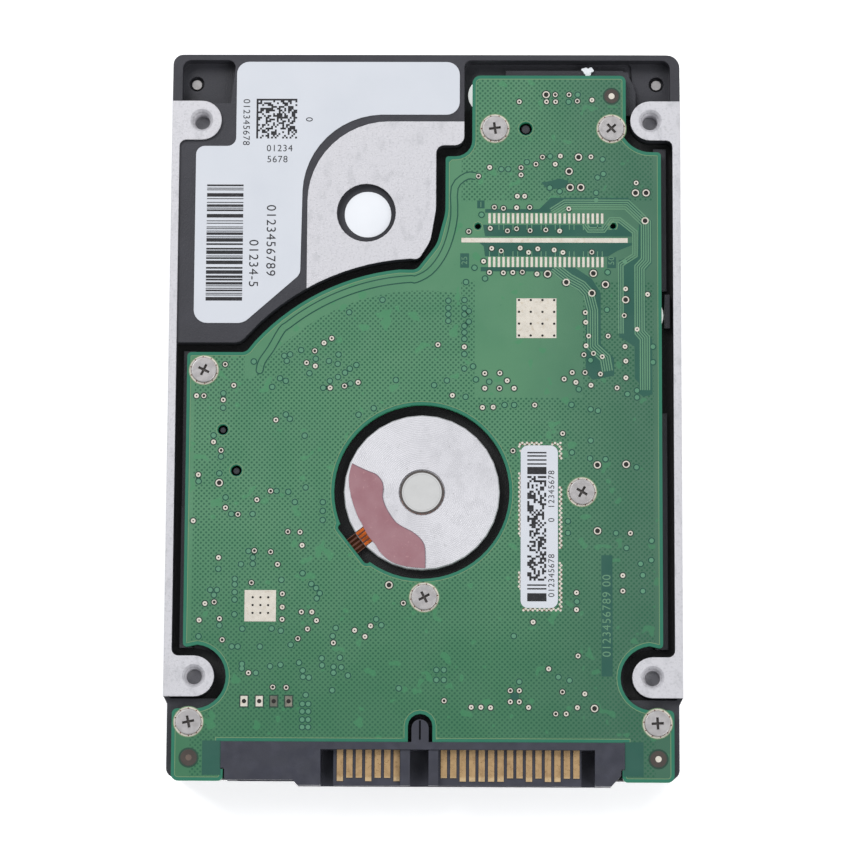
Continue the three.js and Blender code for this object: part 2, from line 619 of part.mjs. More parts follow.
function armBlock() {
  const arm = outline([
    [0, -4.6], [ARM.length - 1, -2.2, 1], [ARM.length, -1.6, 0.6],
    [ARM.length, 1.6, 0.6], [ARM.length - 1, 2.2, 1], [0, 4.6],
  ]);
  const window = outline([[9, -1.8, 0.5], [17, -1.1, 0.5], [17, 1.1, 0.5], [9, 1.8, 0.5]]);
  const low = MID_PLANE - ARM.offset - ARM.thickness;
  const high = MID_PLANE + ARM.offset + ARM.thickness;
  return joined([
    disc(AXIS, ARM.block, low, high),
    plate(arm, low, low + ARM.thickness),
    plate(arm, high - ARM.thickness, high),
  ])
    .subtract(plate(window, 0, HEIGHT))
    .subtract(disc(AXIS, BEARING.radius, 0, HEIGHT));
}

const BEARING = { radius: 3.4, bore: 2.05, low: 1.45, high: 5.2 };

function pivotBearing() {
  return ring(AXIS, BEARING.bore, BEARING.radius, BEARING.low, BEARING.high);
}

// The fixed shaft that the bearing turns on, held by a nose in the casting and a screw in the cover.
function pivotShaft() {
  const [, shoulder] = FLANGE;
  const { shank, tip } = PIVOT_SCREW;
  return turned(PIVOT, [
    [0, tip + 0.1], [shank, tip + 0.1], [shank, shoulder], [2, shoulder], [2, 6.2], [3, 6.2],
    [3, BAY_FLOOR], [1.2, BAY_FLOOR], [1.2, 8.4], [0, 8.4],
  ]);
}

function coilFrame() {
  const { inner, outer, half, low, high } = COIL;
  const rim = outline(arc(AXIS, outer + 0.8, COIL_SIDE - half - 3, COIL_SIDE + half + 3, 12).concat(
    [polar(AXIS, 8.2, COIL_SIDE + half + 3), [-3, -3.4], [-3, 3.4], polar(AXIS, 8.2, COIL_SIDE - half - 3)],
  ));
  return plate(rim, low, high)
    .subtract(plate(sector(AXIS, inner, outer, COIL_SIDE - half, COIL_SIDE + half), 0, HEIGHT))
    .subtract(disc(AXIS, ARM.block, 0, HEIGHT));
}

function voiceCoil() {
  const { inner, outer, half, low, high } = COIL;
  const winding = sector(AXIS, inner, outer, COIL_SIDE - half, COIL_SIDE + half);
  const eye = sector(AXIS, inner + 2, outer - 2, COIL_SIDE - half / 2, COIL_SIDE + half / 2);
  return plate(winding, low, high).subtract(plate(eye, 0, HEIGHT));
}

// A head's spring arm above (side 1) or below (side -1) the platter.
function suspension(side) {
  const mountPlate = outline([[20.4, -2, 0.4], [24.6, -2, 0.4], [24.6, 2, 0.4], [20.4, 2, 0.4]]);
  const beam = outline([
    [23, -1.9, 0.3], [33, -0.8], [35, -0.35], [36.2, -0.35, 0.2],
    [36.2, 0.35, 0.2], [35, 0.35], [33, 0.8], [23, 1.9, 0.3],
  ]);
  const level = (distance) => MID_PLANE + side * distance;
  const between = (a, b) => [Math.min(level(a), level(b)), Math.max(level(a), level(b))];
  return plate(mountPlate, ...between(ARM.offset - BEAM, ARM.offset))
    .add(plate(beam, ...between(ARM.offset - 2 * BEAM, ARM.offset - BEAM)));
}

function head(side) {
  const near = MID_PLANE + side * (PLATTER[1] - MID_PLANE + 0.07);
  const far = MID_PLANE + side * (ARM.offset - 2 * BEAM);
  return block(HEAD_REACH - 0.62, HEAD_REACH + 0.62, -0.5, 0.5, Math.min(near, far), Math.max(near, far));
}

// ---- Voice-coil motor, ramp, latch and flexible cable -------------------------------------------

const YOKE = { inner: 9, outer: 19.2, from: 84, to: 192 };
const YOKE_COVER = [0.75, 1.5];
const YOKE_BOARD = [4.6, 5.4];
const YOKE_POSTS = [polar(PIVOT, 14.5, 87.5), polar(PIVOT, 14.5, 188.5), polar(PIVOT, 17.2, 140)];

function boardYoke() {
  const { inner, outer, from, to } = YOKE;
  let yoke = plate(sector(PIVOT, inner, outer, from, to, 16), ...YOKE_BOARD);
  for (const at of YOKE_POSTS.slice(0, 2)) yoke = yoke.add(disc(at, 1.0, YOKE_COVER[1], YOKE_BOARD[1], 16));
  return yoke;
}

function coverYoke() {
  const { inner, outer, from, to } = YOKE;
  return plate(sector(PIVOT, inner, outer, from, to, 16), ...YOKE_COVER);
}

function loadRamp() {
  const finger = sector(PIVOT, 35, 36.8, -29.5, -17, 6);
  const body = sector(PIVOT, 36.5, 38.6, -25, -17, 4);
  return plate(body, 2.2, WELL_FLOOR)
    .add(plate(finger, MID_PLANE + 0.49, MID_PLANE + 0.66))
    .add(plate(finger, MID_PLANE - 0.66, MID_PLANE - 0.49));
}

function actuatorLatch() {
  const [x, y] = LATCH;
  const lever = outline([
    [x - 1.2, y - 1.2, 1], [x + 3.4, y - 1.6, 0.8], [x + 3.4, y + 1, 0.8], [x + 0.6, y + 1.2, 1],
    [x - 3.9, y + 7.4, 0.5], [x - 3.4, y + 8.4, 0.3], [x - 4.6, y + 8.4, 0.4], [x - 5.6, y + 7.0, 0.5],
  ]);
  return plate(lever, 2.7, 4.1)
    .add(disc(LATCH, 1.3, 2.7, 4.6, 20))
    .add(disc(LATCH, 0.5, 4.5, BAY_FLOOR + 0.5, 10));
}

// A thin upright band along a smooth curve, from one level to another.
function band(points, thickness, low, high) {
  const curve = new THREE.CatmullRomCurve3(points.map(([x, y]) => new THREE.Vector3(x, y, 0)));
  const steps = 16;
  const side = (sign) => Array.from({ length: steps + 1 }, (_, i) => {
    const at = curve.getPoint(i / steps);
    const along = curve.getTangent(i / steps);
    return [at.x - (sign * along.y * thickness) / 2, at.y + (sign * along.x * thickness) / 2];
  });
  return plate(outline([...side(-1), ...side(1).reverse()]), low, high);
}

const CABLE_ROUTE = [[-3.4, 33.2], [-1, 37.2], [3.4, 38.8], [7.4, 36.2], [9.2, 31.6], [10.4, 28.2]];
const CABLE_FOOT = [5.3, 5.5];

function flexCable() {
  const [x0, x1, y0] = HEAD_SLOT;
  return band(CABLE_ROUTE, 0.3, 2.5, CABLE_FOOT[0] + 0.05).add(block(x0, x1, y0, 29.4, ...CABLE_FOOT));
}

// ---- Labels -------------------------------------------------------------------------------------

const baseLabelOutline = outline([
  [-31.6, 12.1, 1.8], [-24.8, 12.1, 2.2], [-17.1, 18.9, 1.5], ...arc([-5.8, 30.2], 11.1, 178, 92, 12),
  [4.65, 41.3, 1.8], [4.65, 48.75, 1.8], [-26.1, 48.75, 1.7], [-26.1, 36.85, 1.2], [-31.6, 36.85, 1.2],
]);
const boardLabelOutline = outline([
  [13.1, -26.8, 1], [18.15, -26.8, 1], [18.15, -4.65, 1], [13.1, -4.65, 1],
]);

// ---- Assembly -----------------------------------------------------------------------------------

addPart("base_casting", baseCasting(), COATED_CASTING);
addPart("top_cover", topCover(), STEEL);
addPart("cover_gasket", coverGasket(), RUBBER);
COVER_SCREWS.forEach(({ at, tip }, i) => {
  addPart(`cover_screw_${i + 1}`, coverScrew(at, tip), STEEL);
});
addPart("pivot_screw", pivotScrew(), STEEL);
addPart("cover_label", plate(COVER_LABEL, 0.02, LABEL_SINK), PAPER);
addPart("base_label", plate(baseLabelOutline, COATED, COATED + 0.1), PAPER);
addPart("pivot_seal", disc([PIVOT[0] + 0.2, PIVOT[1] - 0.1], 3.2, 8.4, 8.5, 40), PAPER);
addPart("servo_port_seal", disc(SERVO_PORT.at, SERVO_PORT.seal, RECESS, RECESS + 0.1, 32), PAPER);
addPart("breather_seal", disc(BREATHER_PORT.at, BREATHER_PORT.seal, RECESS, RECESS + 0.1, 32), PAPER);

addPart("circuit_board", circuitBoard(), BOARD_GREEN);
addPart("board_insulator", boardInsulator(), RUBBER);
BOARD_SCREWS.forEach((at, i) => addPart(`board_screw_${i + 1}`, boardScrew(at), STEEL));
addPart("board_label", plate(boardLabelOutline, BOARD[1], BOARD[1] + 0.1), PAPER);
addPart("controller_chip", chip([15.2, 12.9], 11, 11), BLACK_PLASTIC);
addPart("motor_driver_chip", chip([-22, -26.6], 7, 7), BLACK_PLASTIC);
addPart("memory_chip", chip([15.6, -16], 7, 12), BLACK_PLASTIC);
addPart("head_connector", block(...HEAD_SLOT, CABLE_FOOT[1], BOARD[0]), PALE_PLASTIC);

addPart("connector_housing", connectorHousing(), BLACK_PLASTIC);
addPart("signal_contacts", contactStrips(SIGNAL), GOLD);
addPart("power_contacts", contactStrips(POWER), GOLD);
addPart("jumper_pins", jumperPins(), GOLD);

addPart("motor_base", motorBase(), ALUMINIUM);
addPart("motor_flex", motorFlex(), FLEX);
addPart("motor_end_cap", disc(MOTOR, 2.95, 7.9, 8.2), STEEL);
addPart("bearing_sleeve", ring(MOTOR, SLEEVE.bore, SLEEVE.radius, SLEEVE.low, SLEEVE.high), COPPER);
addPart("stator_core", statorCore(), STEEL);
addPart("stator_windings", statorWindings(), COPPER);

addPart("spindle_shaft", spindleShaft(), STEEL);
addPart("spindle_hub", spindleHub(), ALUMINIUM);
addPart("rotor_magnet", ring(MOTOR, 8.2, 9.0, 5.2, 6.9), MAGNET);
addPart("platter", ring(MOTOR, 10.0, PLATTER_RADIUS, ...PLATTER, 64), MIRROR_DISK);
addPart("disk_clamp", turned(MOTOR, [
  [1.3, 1.9], [11.6, 1.9], [12, 2.3], [12, PLATTER[0]], [10.4, PLATTER[0]], [10.4, HUB.low], [1.3, HUB.low],
]), ALUMINIUM);
addPart("clamp_screw", disc(MOTOR, 2.6, 1.35, 1.9, 20).add(disc(MOTOR, 1.2, 1.8, 4.2, 16))
  .subtract(disc(MOTOR, 1.0, 0, 1.75, 6)), STEEL);

addPart("pivot_shaft", pivotShaft(), STEEL);
addPart("pivot_bearing", pivotBearing(), STEEL, actuator);
addPart("arm_block", armBlock(), ALUMINIUM, actuator);
addPart("coil_frame", coilFrame(), PALE_PLASTIC, actuator);
addPart("voice_coil", voiceCoil(), COPPER, actuator);
for (const [side, name] of [[1, "upper"], [-1, "lower"]]) {
  addPart(`suspension_${name}`, suspension(side), STEEL, actuator);
  addPart(`head_${name}`, head(side), BLACK_PLASTIC, actuator);
}

addPart("board_side_yoke", boardYoke(), STEEL);
addPart("cover_side_yoke", coverYoke(), STEEL);
addPart("voice_magnet", plate(sector(PIVOT, 10, 18.4, 98, 178, 14), YOKE_COVER[1], 2.3), MAGNET);
addPart("load_ramp", loadRamp(), PALE_PLASTIC);
addPart("actuator_latch", actuatorLatch(), PALE_PLASTIC);
addPart("flex_cable", flexCable(), FLEX);

export default drive;
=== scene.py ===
"""The looks of a 2.5-inch hard disk drive that lies on its cover with its circuit board up."""

import json
import math
import random

import bpy
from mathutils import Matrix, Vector


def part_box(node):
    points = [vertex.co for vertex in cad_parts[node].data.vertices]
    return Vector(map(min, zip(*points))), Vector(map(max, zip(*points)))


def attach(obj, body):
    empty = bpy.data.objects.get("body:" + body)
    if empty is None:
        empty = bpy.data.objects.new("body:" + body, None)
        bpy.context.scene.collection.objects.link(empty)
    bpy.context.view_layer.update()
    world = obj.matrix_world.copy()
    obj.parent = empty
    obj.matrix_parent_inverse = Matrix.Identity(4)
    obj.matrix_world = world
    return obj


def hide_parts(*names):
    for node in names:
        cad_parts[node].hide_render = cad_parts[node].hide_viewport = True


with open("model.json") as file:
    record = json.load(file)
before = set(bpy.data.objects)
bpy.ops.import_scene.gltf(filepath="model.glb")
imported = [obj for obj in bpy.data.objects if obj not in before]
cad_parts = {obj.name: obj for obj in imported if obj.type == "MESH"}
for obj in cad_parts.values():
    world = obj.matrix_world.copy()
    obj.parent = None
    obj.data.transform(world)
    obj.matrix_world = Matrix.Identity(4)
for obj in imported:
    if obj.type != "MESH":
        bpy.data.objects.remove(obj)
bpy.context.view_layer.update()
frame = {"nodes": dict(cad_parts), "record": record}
NODES = frame["nodes"]
MM = 0.001
random.seed(11)

# ---- Levels and centres, in millimetres, from the frame ------------------------------------------


def low_high(node):
    low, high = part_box(node)
    return [v / MM for v in low], [v / MM for v in high]


def middle(node):
    low, high = low_high(node)
    return (low[0] + high[0]) / 2, (low[1] + high[1]) / 2


BOARD_TOP = low_high("circuit_board")[1][2]
LABEL_TOP = low_high("base_label")[1][2]
MOTOR_FACE = low_high("motor_base")[1][2]
MOTOR = middle("motor_base")
MOTOR_RADIUS = (low_high("motor_base")[1][0] - low_high("motor_base")[0][0]) / 2
BOARD_SCREWS = [middle(f"board_screw_{i}") for i in range(1, 8)]
SCREW_TOP = low_high("board_screw_1")[1][2]

# ---- Colours ------------------------------------------------------------------------------------


def srgb(red, green, blue):
    """A colour as it looks on a screen, 0 to 255, as linear light."""
    def linear(v):
        v /= 255
        return v / 12.92 if v <= 0.04045 else ((v + 0.055) / 1.055) ** 2.4
    return (linear(red), linear(green), linear(blue), 1.0)


# ---- Surfaces -----------------------------------------------------------------------------------

# A Mix node's sockets for colours.
MIX_UNDER, MIX_OVER, MIX_RESULT = 6, 7, 2


class Surface:
    """A procedural material in object space, whose coordinates are millimetres on the drive."""

    def __init__(self, name, colour, roughness=0.5, metallic=0.0, specular=0.5):
        self.material = bpy.data.materials.new(name)
        self.material.use_nodes = True
        self.tree = self.material.node_tree
        self.bsdf = self.tree.nodes["Principled BSDF"]
        self.bsdf.inputs["Base Color"].default_value = colour
        self.bsdf.inputs["Roughness"].default_value = roughness
        self.bsdf.inputs["Metallic"].default_value = metallic
        self.bsdf.inputs["Specular IOR Level"].default_value = specular
        self.colour = None
        self.base = colour
        self.normal = None
        place = self.node("ShaderNodeTexCoord")
        scale = self.node("ShaderNodeVectorMath", operation="SCALE")
        scale.inputs["Scale"].default_value = 1 / MM
        self.link(place.outputs["Object"], scale.inputs[0])
        self.place = scale.outputs["Vector"]

    def node(self, kind, **settings):
        made = self.tree.nodes.new(kind)
        for key, value in settings.items():
            setattr(made, key, value)
        return made

    def link(self, out, into):
        self.tree.links.new(out, into)

    def math(self, operation, a, b=None, clamp=False):
        made = self.node("ShaderNodeMath", operation=operation, use_clamp=clamp)
        for socket, value in zip(made.inputs, (a, b)):
            if isinstance(value, (int, float)):
                socket.default_value = value
            elif value is not None:
                self.link(value, socket)
        return made.outputs["Value"]

    def ramp(self, value, start, end, low=0.0, high=1.0):
        made = self.node("ShaderNodeMapRange", interpolation_type="SMOOTHSTEP", clamp=True)
        self.link(value, made.inputs["Value"])
        for key, v in (("From Min", start), ("From Max", end), ("To Min", low), ("To Max", high)):
            made.inputs[key].default_value = v
        return made.outputs["Result"]

    def noise(self, size, detail=3.0, stretch=(1, 1, 1)):
        """Noise with features of about a size in millimetres."""
        mapping = self.node("ShaderNodeMapping")
        self.link(self.place, mapping.inputs["Vector"])
        mapping.inputs["Scale"].default_value = [s / size for s in stretch]
        made = self.node("ShaderNodeTexNoise")
        made.inputs["Scale"].default_value = 1.0
        made.inputs["Detail"].default_value = detail
        self.link(mapping.outputs["Vector"], made.inputs["Vector"])
        return made.outputs["Fac"]

    def axis(self, name):
        parts = self.node("ShaderNodeSeparateXYZ")
        self.link(self.place, parts.inputs[0])
        return parts.outputs[name]

    def tint(self, mask, colour):
        """Lays a colour over what is there, where the mask is 1."""
        mix = self.node("ShaderNodeMix", data_type="RGBA")
        self.link(mask, mix.inputs["Factor"])
        if self.colour is None:
            mix.inputs[MIX_UNDER].default_value = self.base
        else:
            self.link(self.colour, mix.inputs[MIX_UNDER])
        mix.inputs[MIX_OVER].default_value = colour
        self.colour = mix.outputs[MIX_RESULT]
        self.link(self.colour, self.bsdf.inputs["Base Color"])
        return self

    def vary(self, socket, mask, low, high):
        self.link(self.ramp(mask, 0.0, 1.0, low, high), self.bsdf.inputs[socket])
        return self

    def soften(self, radius):
        """Rounds the look of every edge by a radius in millimetres."""
        made = self.node("ShaderNodeBevel", samples=4)
        made.inputs["Radius"].default_value = radius * MM
        self.normal = made.outputs["Normal"]
        self.link(self.normal, self.bsdf.inputs["Normal"])
        return self

    def relief(self, height, depth, strength=1.0):
        made = self.node("ShaderNodeBump")
        made.inputs["Strength"].default_value = strength
        made.inputs["Distance"].default_value = depth * MM
        self.link(height, made.inputs["Height"])
        if self.normal is not None:
            self.link(self.normal, made.inputs["Normal"])
        self.normal = made.outputs["Normal"]
        self.link(self.normal, self.bsdf.inputs["Normal"])
        return self

    def vector(self, operation, source, operand=None):
        made = self.node("ShaderNodeVectorMath", operation=operation)
        self.link(source, made.inputs[0])
        if operand is not None:
            made.inputs[1].default_value = operand
        return made.outputs["Value" if operation == "LENGTH" else "Vector"]

    def across(self, source, centre):
        """How far a place is from an upright axis."""
        offset = self.vector("SUBTRACT", source, (centre[0], centre[1], 0))
        return self.vector("LENGTH", self.vector("MULTIPLY", offset, (1, 1, 0)))


def uneven_gloss(surface, size, low, high):
    return surface.vary("Roughness", surface.ramp(surface.noise(size), 0.3, 0.7), low, high)


def upward(surface, level, blend=0.04):
    """A mask of the faces that look up and lie above a level."""
    shape = surface.node("ShaderNodeNewGeometry")
    parts = surface.node("ShaderNodeSeparateXYZ")
    surface.link(shape.outputs["True Normal"], parts.inputs[0])
    facing = surface.ramp(parts.outputs["Z"], 0.85, 0.95)
    height = surface.ramp(surface.axis("Z"), level - blend, level + blend)
    return surface.math("MULTIPLY", facing, height)


def near(surface, centre, radius, blend=0.05):
    """A mask of what lies within a radius of an upright axis, and the distance from the axis."""
    distance = surface.across(surface.place, centre)
    return surface.ramp(distance, radius - blend, radius + blend, 1.0, 0.0), distance


MOUNT_X = 30.86
MOUNT_Y = (-36.175, 40.425)
MACHINED_LEVEL = 9.25
BOSS_TOP = low_high("base_casting")[1][2]
HALF_WIDTH = low_high("base_casting")[1][0]
SIDE_DROP = 3.0


def coated_casting():
    """Dark electrocoat, with bare machined faces on the bosses, the rails and the pivot pad, and painted
    shade in the board's pocket.
    """
    s = Surface("coated_casting", srgb(47, 47, 52), roughness=0.5, metallic=0.0, specular=0.3)
    s.soften(0.18)
    s.tint(s.ramp(s.noise(5.0), 0.35, 0.75, 0.0, 0.6), srgb(55, 55, 61))
    # Painted shade: the floor of the board's pocket, which lies in the shade, is coloured near black; the
    # corner pockets are not.
    pocket = s.ramp(s.axis("Z"), 6.95, 7.85, 0.95, 0.0)
    beside = s.ramp(s.axis("Y"), 42.0, 43.0, 1.0, 0.0)
    s.tint(s.math("MULTIPLY", pocket, beside), srgb(12, 12, 13))
    bare = upward(s, MACHINED_LEVEL)
    for x in (-MOUNT_X, MOUNT_X):
        for y in MOUNT_Y:
            hole, _ = near(s, (x, y), 1.72)
            bare = s.math("MAXIMUM", bare, s.math("MULTIPLY", hole, s.ramp(s.axis("Z"), 5.9, 6.2)))
    s.tint(bare, srgb(188, 187, 191))
    speckle = s.ramp(s.noise(0.3, 4.0), 0.5, 0.72)
    scuffs = s.ramp(s.noise(1.3, 5.0, (1, 0.5, 1)), 0.52, 0.7)
    s.tint(s.math("MULTIPLY", bare, s.math("MULTIPLY", scuffs, 0.4)), srgb(160, 160, 164))
    s.tint(s.math("MULTIPLY", bare, s.math("MULTIPLY", speckle, 0.4)), srgb(150, 150, 153))
    s.vary("Metallic", bare, 0.0, 0.35)
    s.vary("Roughness", bare, 0.46, 0.5)
    grain = s.math("ADD", s.noise(0.16, 2.0), s.math("MULTIPLY", s.noise(0.6, 2.0), 0.5))
    return s.relief(grain, 0.045).material


def machined_aluminium():
    """Turned aluminium, with fine rings round the motor's axis on its face."""
    s = Surface("machined_aluminium", srgb(194, 193, 197), roughness=0.45, metallic=0.4)
    s.soften(0.12)
    _, distance = near(s, MOTOR, 1.0)
    rings = s.math("SINE", s.math("MULTIPLY", distance, 26.0))
    s.tint(s.ramp(s.noise(2.2, 5.0), 0.5, 0.8, 0.0, 0.3), srgb(182, 181, 184))
    s.tint(s.ramp(s.noise(0.5, 2.0), 0.68, 0.74, 0.0, 0.4), srgb(150, 149, 150))
    uneven_gloss(s, 1.5, 0.4, 0.52)
    return s.relief(s.math("ADD", s.math("MULTIPLY", rings, 0.3), s.noise(0.2, 2.0)), 0.02).material


def brushed(name, colour, darker, stretch=(0.12, 1, 1), roughness=(0.28, 0.42), size=1.2):
    s = Surface(name, colour, roughness=roughness[0], metallic=0.95)
    s.soften(0.08)
    s.tint(s.ramp(s.noise(size, 6.0, stretch), 0.4, 0.7, 0.0, 0.7), darker)
    uneven_gloss(s, 4.0, *roughness)
    return s.relief(s.noise(0.12, 2.0, stretch), 0.008).material


def screw_steel():
    s = Surface("screw_steel", srgb(168, 165, 165), roughness=0.42, metallic=0.4)
    s.soften(0.05)
    s.tint(s.ramp(s.noise(0.9, 4.0), 0.45, 0.8, 0.0, 0.4), srgb(150, 144, 140))
    # Painted shade: the cross recess and the side of the head, below its top face, are coloured dark.
    recess_shade = s.ramp(s.axis("Z"), SCREW_TOP - 0.12, SCREW_TOP - 0.04, 0.95, 0.0)
    up = s.ramp(s.axis("Z"), BOARD_TOP - 0.02, BOARD_TOP)
    s.tint(s.math("MULTIPLY", recess_shade, up), srgb(62, 57, 54))
    uneven_gloss(s, 0.7, 0.3, 0.5)
    return s.relief(s.noise(0.15, 3.0), 0.012).material


def plastic(name, colour, lighter, roughness=(0.42, 0.6), grain=0.2, specular=0.5):
    s = Surface(name, colour, roughness=roughness[0], specular=specular)
    s.soften(0.08)
    s.tint(s.ramp(s.noise(1.6, 5.0), 0.4, 0.8, 0.0, 0.6), lighter)
    uneven_gloss(s, 2.0, *roughness)
    return s.relief(s.noise(grain, 3.0), 0.015).material


def polished(name, colour, tint, roughness=(0.03, 0.08)):
    s = Surface(name, colour, roughness=roughness[0], metallic=1.0)
    s.tint(s.ramp(s.noise(9.0), 0.3, 0.8, 0.0, 0.4), tint)
    uneven_gloss(s, 5.0, *roughness)
    return s.relief(s.noise(0.3, 2.0), 0.001).material


def coil_wire():
    """Enamelled wire: fine ridges over copper."""
    s = Surface("coil_wire", srgb(186, 104, 58), roughness=0.35, metallic=0.7)
    wire = s.node("ShaderNodeTexWave", wave_type="RINGS", bands_direction="Z")
    s.link(s.place, wire.inputs["Vector"])
    wire.inputs["Scale"].default_value = 1.6
    wire.inputs["Distortion"].default_value = 0.6
    s.tint(s.ramp(wire.outputs["Fac"], 0.0, 0.5, 0.6, 0.0), srgb(96, 42, 22))
    uneven_gloss(s, 0.8, 0.28, 0.45)
    return s.relief(wire.outputs["Fac"], 0.03).material


def gold_contacts():
    """Thin gold over nickel, lighter towards the open end."""
    s = Surface("contact_gold", srgb(172, 142, 102), roughness=0.36, metallic=0.4)
    s.soften(0.04)
    s.tint(s.ramp(s.noise(0.5, 4.0, (1, 0.4, 1)), 0.45, 0.75, 0.0, 0.5), srgb(132, 102, 70))
    s.tint(s.ramp(s.axis("Y"), -49.8, -49.3, 0.35, 0.0), srgb(226, 202, 160))
    uneven_gloss(s, 0.6, 0.24, 0.42)
    return s.relief(s.noise(0.14, 3.0), 0.012).material


def label_paper(name, colour, shade, painted_glow=0.0):
    """Coated paper or film; the emission is painted light, which makes a white seal look lit where it lies in
    shade.
    """
    s = Surface(name, colour, roughness=0.42, specular=0.4)
    s.soften(0.06)
    s.bsdf.inputs["Emission Color"].default_value = srgb(255, 255, 255)
    s.bsdf.inputs["Emission Strength"].default_value = painted_glow
    s.tint(s.ramp(s.noise(7.0, 3.0), 0.3, 0.8, 0.0, 0.5), shade)
    uneven_gloss(s, 6.0, 0.36, 0.5)
    return s.relief(s.math("ADD", s.noise(4.0, 2.0), s.math("MULTIPLY", s.noise(0.2), 0.1)), 0.03).material


def ink(name, colour, lighter):
    s = Surface(name, colour, roughness=0.6, specular=0.3)
    s.tint(s.ramp(s.noise(0.35, 4.0), 0.5, 0.8, 0.0, 0.6), lighter)
    uneven_gloss(s, 1.0, 0.5, 0.7)
    return s.relief(s.noise(0.1, 2.0), 0.004).material


def flex_film():
    """Polyimide film that shows its copper through."""
    s = Surface("flex_film", srgb(142, 105, 111), roughness=0.36, specular=0.4)
    s.soften(0.05)
    s.tint(s.ramp(s.noise(3.0, 4.0), 0.35, 0.75, 0.0, 0.7), srgb(132, 90, 97))
    s.tint(s.ramp(s.noise(0.4, 3.0), 0.62, 0.8, 0.0, 0.4), srgb(190, 150, 150))
    uneven_gloss(s, 2.0, 0.28, 0.46)
    return s.relief(s.noise(1.5, 3.0), 0.05).material


# ---- The circuit board's surfaces ----------------------------------------------------------------

MASK_BARE = srgb(40, 102, 82)
MASK_COPPER = srgb(78, 122, 92)
MASK_DEEP = srgb(38, 78, 68)
MASK_RING = srgb(38, 62, 52)
MASK_VIA = srgb(28, 70, 58)
MASK_TRACK = srgb(88, 126, 100)
MASK_EDGE = srgb(108, 132, 98)
HATCH = {"pitch": 0.71, "dot": 0.15}


def solder_mask(name, colour, lighter, hatched=False, copper=False, laminate=False):
    """Green lacquer over laminate or copper, with the hatch's holes where the copper has them."""
    s = Surface(name, colour, roughness=0.36, specular=0.3)
    s.tint(s.ramp(s.noise(9.0, 3.0), 0.3, 0.75, 0.0, 0.6), lighter)
    s.tint(s.ramp(s.noise(0.5, 3.0), 0.68, 0.76, 0.0, 0.3), MASK_DEEP)
    if laminate:
        s.tint(s.ramp(s.axis("Z"), BOARD_TOP - 0.14, BOARD_TOP - 0.05, 0.8, 0.0), srgb(40, 146, 98))
    if copper:
        s.tint(s.ramp(s.axis("Y"), -47.0, -10.0, 0.7, 0.0), srgb(48, 96, 68))
        s.tint(s.ramp(s.axis("X"), 8.0, 33.0, 0.0, 0.65), srgb(56, 86, 74))
    if hatched:
        closed = s.ramp(s.noise(2.0, 1.0), 0.67, 0.7)
        s.tint(s.math("MULTIPLY", closed, 0.35), srgb(54, 124, 82))
        dots = s.math("MULTIPLY", hatch_holes(s), s.math("SUBTRACT", 1.0, closed))
        s.tint(dots, srgb(34, 82, 60))
        s.relief(s.math("SUBTRACT", s.noise(1.2, 2.0), s.math("MULTIPLY", dots, 0.6)), 0.02)
    else:
        s.relief(s.noise(0.9, 3.0), 0.02)
    uneven_gloss(s, 5.0, 0.28, 0.4)
    return s.material


# Where the copper is left whole, as the middle and half size of a square: round the controller, round
# the head connector, and a strip along the right edge.
WHOLE_COPPER = [((14.2, 10.5), (7.4, 8.6)), ((17.6, 23.6), (13.6, 5.6)), ((32.2, -20.0), (1.0, 60.0)),
                ((-32.3, -20.0), (1.0, 60.0))]


def hatch_holes(s):
    """A mask of small round holes on a square lattice that is turned by 45 degrees."""
    x, y = s.axis("X"), s.axis("Y")
    combined = s.node("ShaderNodeCombineXYZ")
    s.link(s.math("DIVIDE", s.math("ADD", x, y), HATCH["pitch"]), combined.inputs["X"])
    s.link(s.math("DIVIDE", s.math("SUBTRACT", x, y), HATCH["pitch"]), combined.inputs["Y"])
    whole = s.vector("FRACTION", s.vector("ADD", combined.outputs["Vector"], (0.5, 0.5, 0)))
    distance = s.math("MULTIPLY", s.across(whole, (0.5, 0.5)), HATCH["pitch"] / math.sqrt(2))
    dots = s.ramp(distance, HATCH["dot"] - 0.05, HATCH["dot"] + 0.05, 0.9, 0.0)
    for middle_of, half in WHOLE_COPPER:
        outside = None
        for value, mid, reach in zip((x, y), middle_of, half):
            away = s.math("ABSOLUTE", s.math("SUBTRACT", value, mid))
            beyond = s.ramp(away, reach - 0.02, reach + 0.02, 0.0, 1.0)
            outside = beyond if outside is None else s.math("MAXIMUM", outside, beyond)
        dots = s.math("MULTIPLY", dots, outside)
    # The band that the wide track follows along the far edge is whole too.
    inside_band, _ = near(s, MOTOR, 27.7)
    right_of_it = s.ramp(x, 4.9, 5.0)
    left_of_it = s.ramp(x, -24.6, -24.5, 1.0, 0.0)
    below_it = s.ramp(y, 4.4, 4.5, 1.0, 0.0)
    keep = s.math("MAXIMUM", inside_band, below_it)
    keep = s.math("MAXIMUM", keep, s.math("MAXIMUM", right_of_it, left_of_it))
    return s.math("MULTIPLY", dots, keep)


def tinned():
    """Dull tin on bare pads."""
    s = Surface("tinned_pads", srgb(196, 190, 179), roughness=0.45, metallic=0.2)
    s.tint(s.ramp(s.noise(0.5, 4.0), 0.5, 0.8, 0.0, 0.6), srgb(170, 156, 134))
    uneven_gloss(s, 0.8, 0.36, 0.55)
    return s.relief(s.noise(0.2, 3.0), 0.02).material


# Painted shade: near black discs drawn flat on the board, for the shaded bores of open holes and pad holes.
def drilled():
    s = Surface("drilled_hole", srgb(22, 20, 18), roughness=0.6, specular=0.3)
    s.tint(s.ramp(s.noise(0.3, 2.0), 0.5, 0.8, 0.0, 0.5), srgb(52, 44, 38))
    return s.relief(s.noise(0.1), 0.01).material


